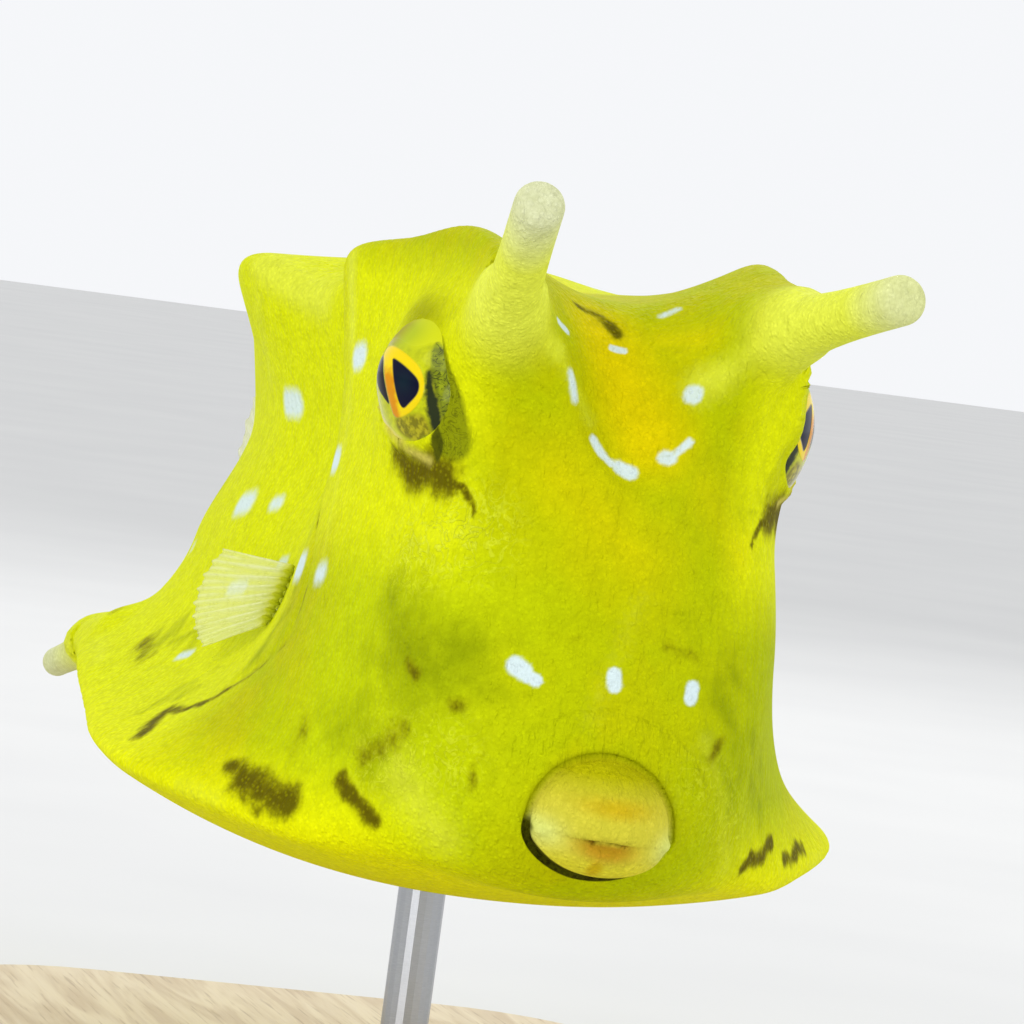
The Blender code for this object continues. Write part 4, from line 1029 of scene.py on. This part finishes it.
def make_fin(name, root, spread, length, rays, thick, curl=0.0):
    """A fan from two points of its foot, with its first and last ray's ways."""
    columns, rows = (rays - 1) * 12 + 1, 30
    a, b = np.array(root[0], float), np.array(root[1], float)
    first, last = (np.array(way) / np.linalg.norm(way) for way in spread)
    normal = np.cross(b - a, first + last)
    normal /= np.linalg.norm(normal)
    u, v = np.meshgrid(np.linspace(0, 1, columns), np.linspace(0, 1, rows), indexing="ij")
    phase = u * (rays - 1)
    single = 0.5 + 0.5 * np.cos(2 * math.pi * phase)
    forked = 0.5 + 0.5 * np.cos(4 * math.pi * phase)
    fork = held((v - 0.45) / 0.35)
    ray = (single * (1 - fork) + forked * fork) ** 2
    way = first + (last - first) * u[..., None]
    way /= np.linalg.norm(way, axis=-1, keepdims=True)
    half = 0.5 * (thick + (0.5 - thick) * v**0.7) * (0.45 + 0.5 * ray * (1 - 0.5 * v))
    rim = np.minimum(np.minimum(u, 1 - u) * 14, (1 - v) * 9)
    half = half * np.sqrt(np.clip(rim, 0.02, 1))
    reach = np.array([length(float(x)) for x in np.linspace(0, 1, columns)])[:, None]
    reach = reach * (1 - 0.035 * (1 - single)) * (1 - 0.02 * (1 - forked))
    middle = a + (b - a) * u[..., None] + way * (reach * v)[..., None]
    wave = 0.16 * np.sin(5 * u + 7 * v) * v * (1 - v)
    middle = middle + normal * ((curl * np.sin(math.pi * u) * v + wave)[..., None])
    bm = bmesh.new()
    faces = []
    for sign in (1, -1):
        p = middle + normal * (sign * half)[..., None]
        faces.append([[bm.verts.new(q) for q in row] for row in place(p[..., 0], p[..., 1], p[..., 2])])
    for grid in faces:
        for i in range(columns - 1):
            for j in range(rows - 1):
                bm.faces.new((grid[i][j], grid[i + 1][j], grid[i + 1][j + 1], grid[i][j + 1]))
    front, back = faces
    rim = [(i, 0) for i in range(columns - 1)] + [(columns - 1, j) for j in range(rows - 1)]
    rim += [(i, rows - 1) for i in range(columns - 1, 0, -1)] + [(0, j) for j in range(rows - 1, 0, -1)]
    for (i, j), (k, m) in zip(rim, rim[1:] + rim[:1]):
        bm.faces.new((front[i][j], front[k][m], back[k][m], back[i][j]))
    bmesh.ops.recalc_face_normals(bm, faces=bm.faces)
    mesh = made_mesh(bm, name + "_fan")
    set_shade(mesh, "ray", np.tile(ray.ravel() * (1 - 0.4 * v.ravel()), 2))
    set_shade(mesh, "foot", np.tile(held(1 - v.ravel() / 0.18), 2))
    mesh.shade_smooth()
    mesh.materials.append(fin_material)
    fan = set_out(name + "_fan", mesh)
    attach(fan, "root")
    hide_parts(name)


fin_material = fin_finish()
foot = STALK_TO + 0.1
make_fin("tail_fin", ((foot, 0, STALK_Z + 3.3), (foot, 0, STALK_Z - 3.3)),
         ((1, 0, 0.36), (1, 0, -0.36)), lambda u: 19.2 + 8 * math.sin(math.pi * u) ** 0.5, 10, 1.7)
front, rear = 70.0, 78.0
height = [float(back_at(np.array(s), np.array(0.0))) - 0.2 for s in (front, rear)]
make_fin("dorsal_fin", ((front, 0, height[0]), (rear, 0, height[1])),
         ((0.95, 0, 1), (1.0, 0, 0.2)), lambda u: 6.2 + 3.8 * math.sin(math.pi * (0.12 + 0.8 * u)), 9, 1.2)
front, rear = 78.0, 85.0
height = [float(belly_at(np.array(s), np.array(0.0))) + 0.2 for s in (front, rear)]
make_fin("anal_fin", ((front, 0, height[0]), (rear, 0, height[1])),
         ((0.75, 0, -1), (1.0, 0, -0.1)), lambda u: 6.6 + 4.5 * math.sin(math.pi * (0.12 + 0.8 * u)), 9, 1.2)
for hand, side in ((1, "left"), (-1, "right")):
    foot = []
    for s, z in ((38.2, 21.0), (38.6, 16.6)):
        foot.append((s - 0.5, hand * (float(side_y(np.array(s), np.array(z))) + 0.35), z))
    make_fin("pectoral_fin_" + side, foot, ((0.86, hand * 0.48, 0.02), (0.80, hand * 0.50, -0.38)),
             lambda u: 5.0 + 4.5 * math.sin(math.pi * (0.2 + 0.7 * u)), 9, 1.1, curl=0.5 * hand)


# The stand is a pale wooden plate with rounded corners and one short steel rod
# that carries the fish under its middle. Both keep the meshes of the CAD part.
def wood_finish():
    f = Finish("stand_wood", 0.4, 0.4)
    rings = f.noise(1.0, 4, 1.2, f.stretched((0.35, 0.03, 0.35)))
    pores = f.noise(1.0, 2, 0.0, f.stretched((3.0, 0.12, 3.0)))
    colour = f.mix(tone(222, 204, 170), tone(198, 174, 134), f.step(rings, 0.35, 0.65))
    colour = f.mix(colour, tone(150, 122, 86), f.step(pores, 0.55, 0.75) * 0.5)
    f.feed("Base Color", colour)
    f.feed("Roughness", 0.34 + pores * 0.2)
    f.bump(pores * -0.05)
    return f.material


def steel_finish():
    f = Finish("stand_steel", 0.3, 0.5, 1.0)
    lines = f.noise(1.0, 2, 0.0, f.stretched((2.0, 2.0, 40.0)))
    f.feed("Base Color", f.mix(tone(188, 190, 194), tone(158, 160, 166), lines))
    f.feed("Roughness", 0.24 + lines * 0.16)
    return f.material


for name, finish in (("stand_base", wood_finish()), ("stand_rod", steel_finish())):
    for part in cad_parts[name].material_slots:
        part.material = finish


# A plain pale floor, soft studio light, and the camera at the place from which
# the fish was seen, a little to its right and rolled.
scene = bpy.context.scene
bpy.ops.mesh.primitive_plane_add(size=6.0, location=(0, 0, 0))
floor = bpy.context.object
floor.name = "floor"
pale_floor = Finish("floor", 0.85, 0.2)
cloudy = pale_floor.noise(0.02, 2)
pale_floor.feed("Base Color", pale_floor.mix(tone(224, 224, 222), tone(214, 214, 213), cloudy))
floor.data.materials.append(pale_floor.material)

world = bpy.data.worlds.new("studio")
scene.world = world
world.use_nodes = True
world.node_tree.nodes["Background"].inputs["Color"].default_value = (0.82, 0.83, 0.85, 1)
world.node_tree.nodes["Background"].inputs["Strength"].default_value = 1.12


LIT_PLACE = Vector((0.0, -0.02, 0.045))


def soft_light(name, where, size, power):
    light = bpy.data.lights.new(name, "AREA")
    light.shape = "DISK"
    light.size = size
    light.energy = power
    lamp = set_out(name, light)
    lamp.location = where
    lamp.rotation_euler = (LIT_PLACE - Vector(where)).to_track_quat("-Z", "Y").to_euler()


soft_light("key", (-0.44, -0.20, 0.34), 0.30, 0.45)
soft_light("fill", (0.36, -0.34, 0.20), 0.35, 0.45)
soft_light("under", (-0.20, -0.24, 0.015), 0.16, 0.25)
soft_light("rear", (0.15, 0.45, 0.40), 0.30, 0.8)

azimuth, elevation, roll = math.radians(13.95), math.radians(2.68), math.radians(7.63)
away = Vector((-math.cos(elevation) * math.sin(azimuth),
               -math.cos(elevation) * math.cos(azimuth), math.sin(elevation)))
right = Vector((math.cos(azimuth), -math.sin(azimuth), 0.0))
up = away.cross(right)
look = Vector((-0.00113, 0.030 - MIDDLE * MM, 0.02683 + LIFT * MM))
DISTANCE = 0.40
SENSOR = 36.0
PIXELS_A_MM = 14.65
PICTURE = 1024
lens = bpy.data.cameras.new("camera")
camera = set_out("camera", lens)
camera_right = right * math.cos(roll) + up * math.sin(roll)
camera_up = up * math.cos(roll) - right * math.sin(roll)
turn = Matrix((camera_right, camera_up, away)).transposed()
camera.matrix_world = Matrix.Translation(look + away * DISTANCE) @ turn.to_4x4()
lens.sensor_width = SENSOR
lens.lens = SENSOR * PIXELS_A_MM * (DISTANCE / MM) / PICTURE
lens.clip_start = 0.01
scene.camera = camera
scene.view_settings.view_transform = "Standard"
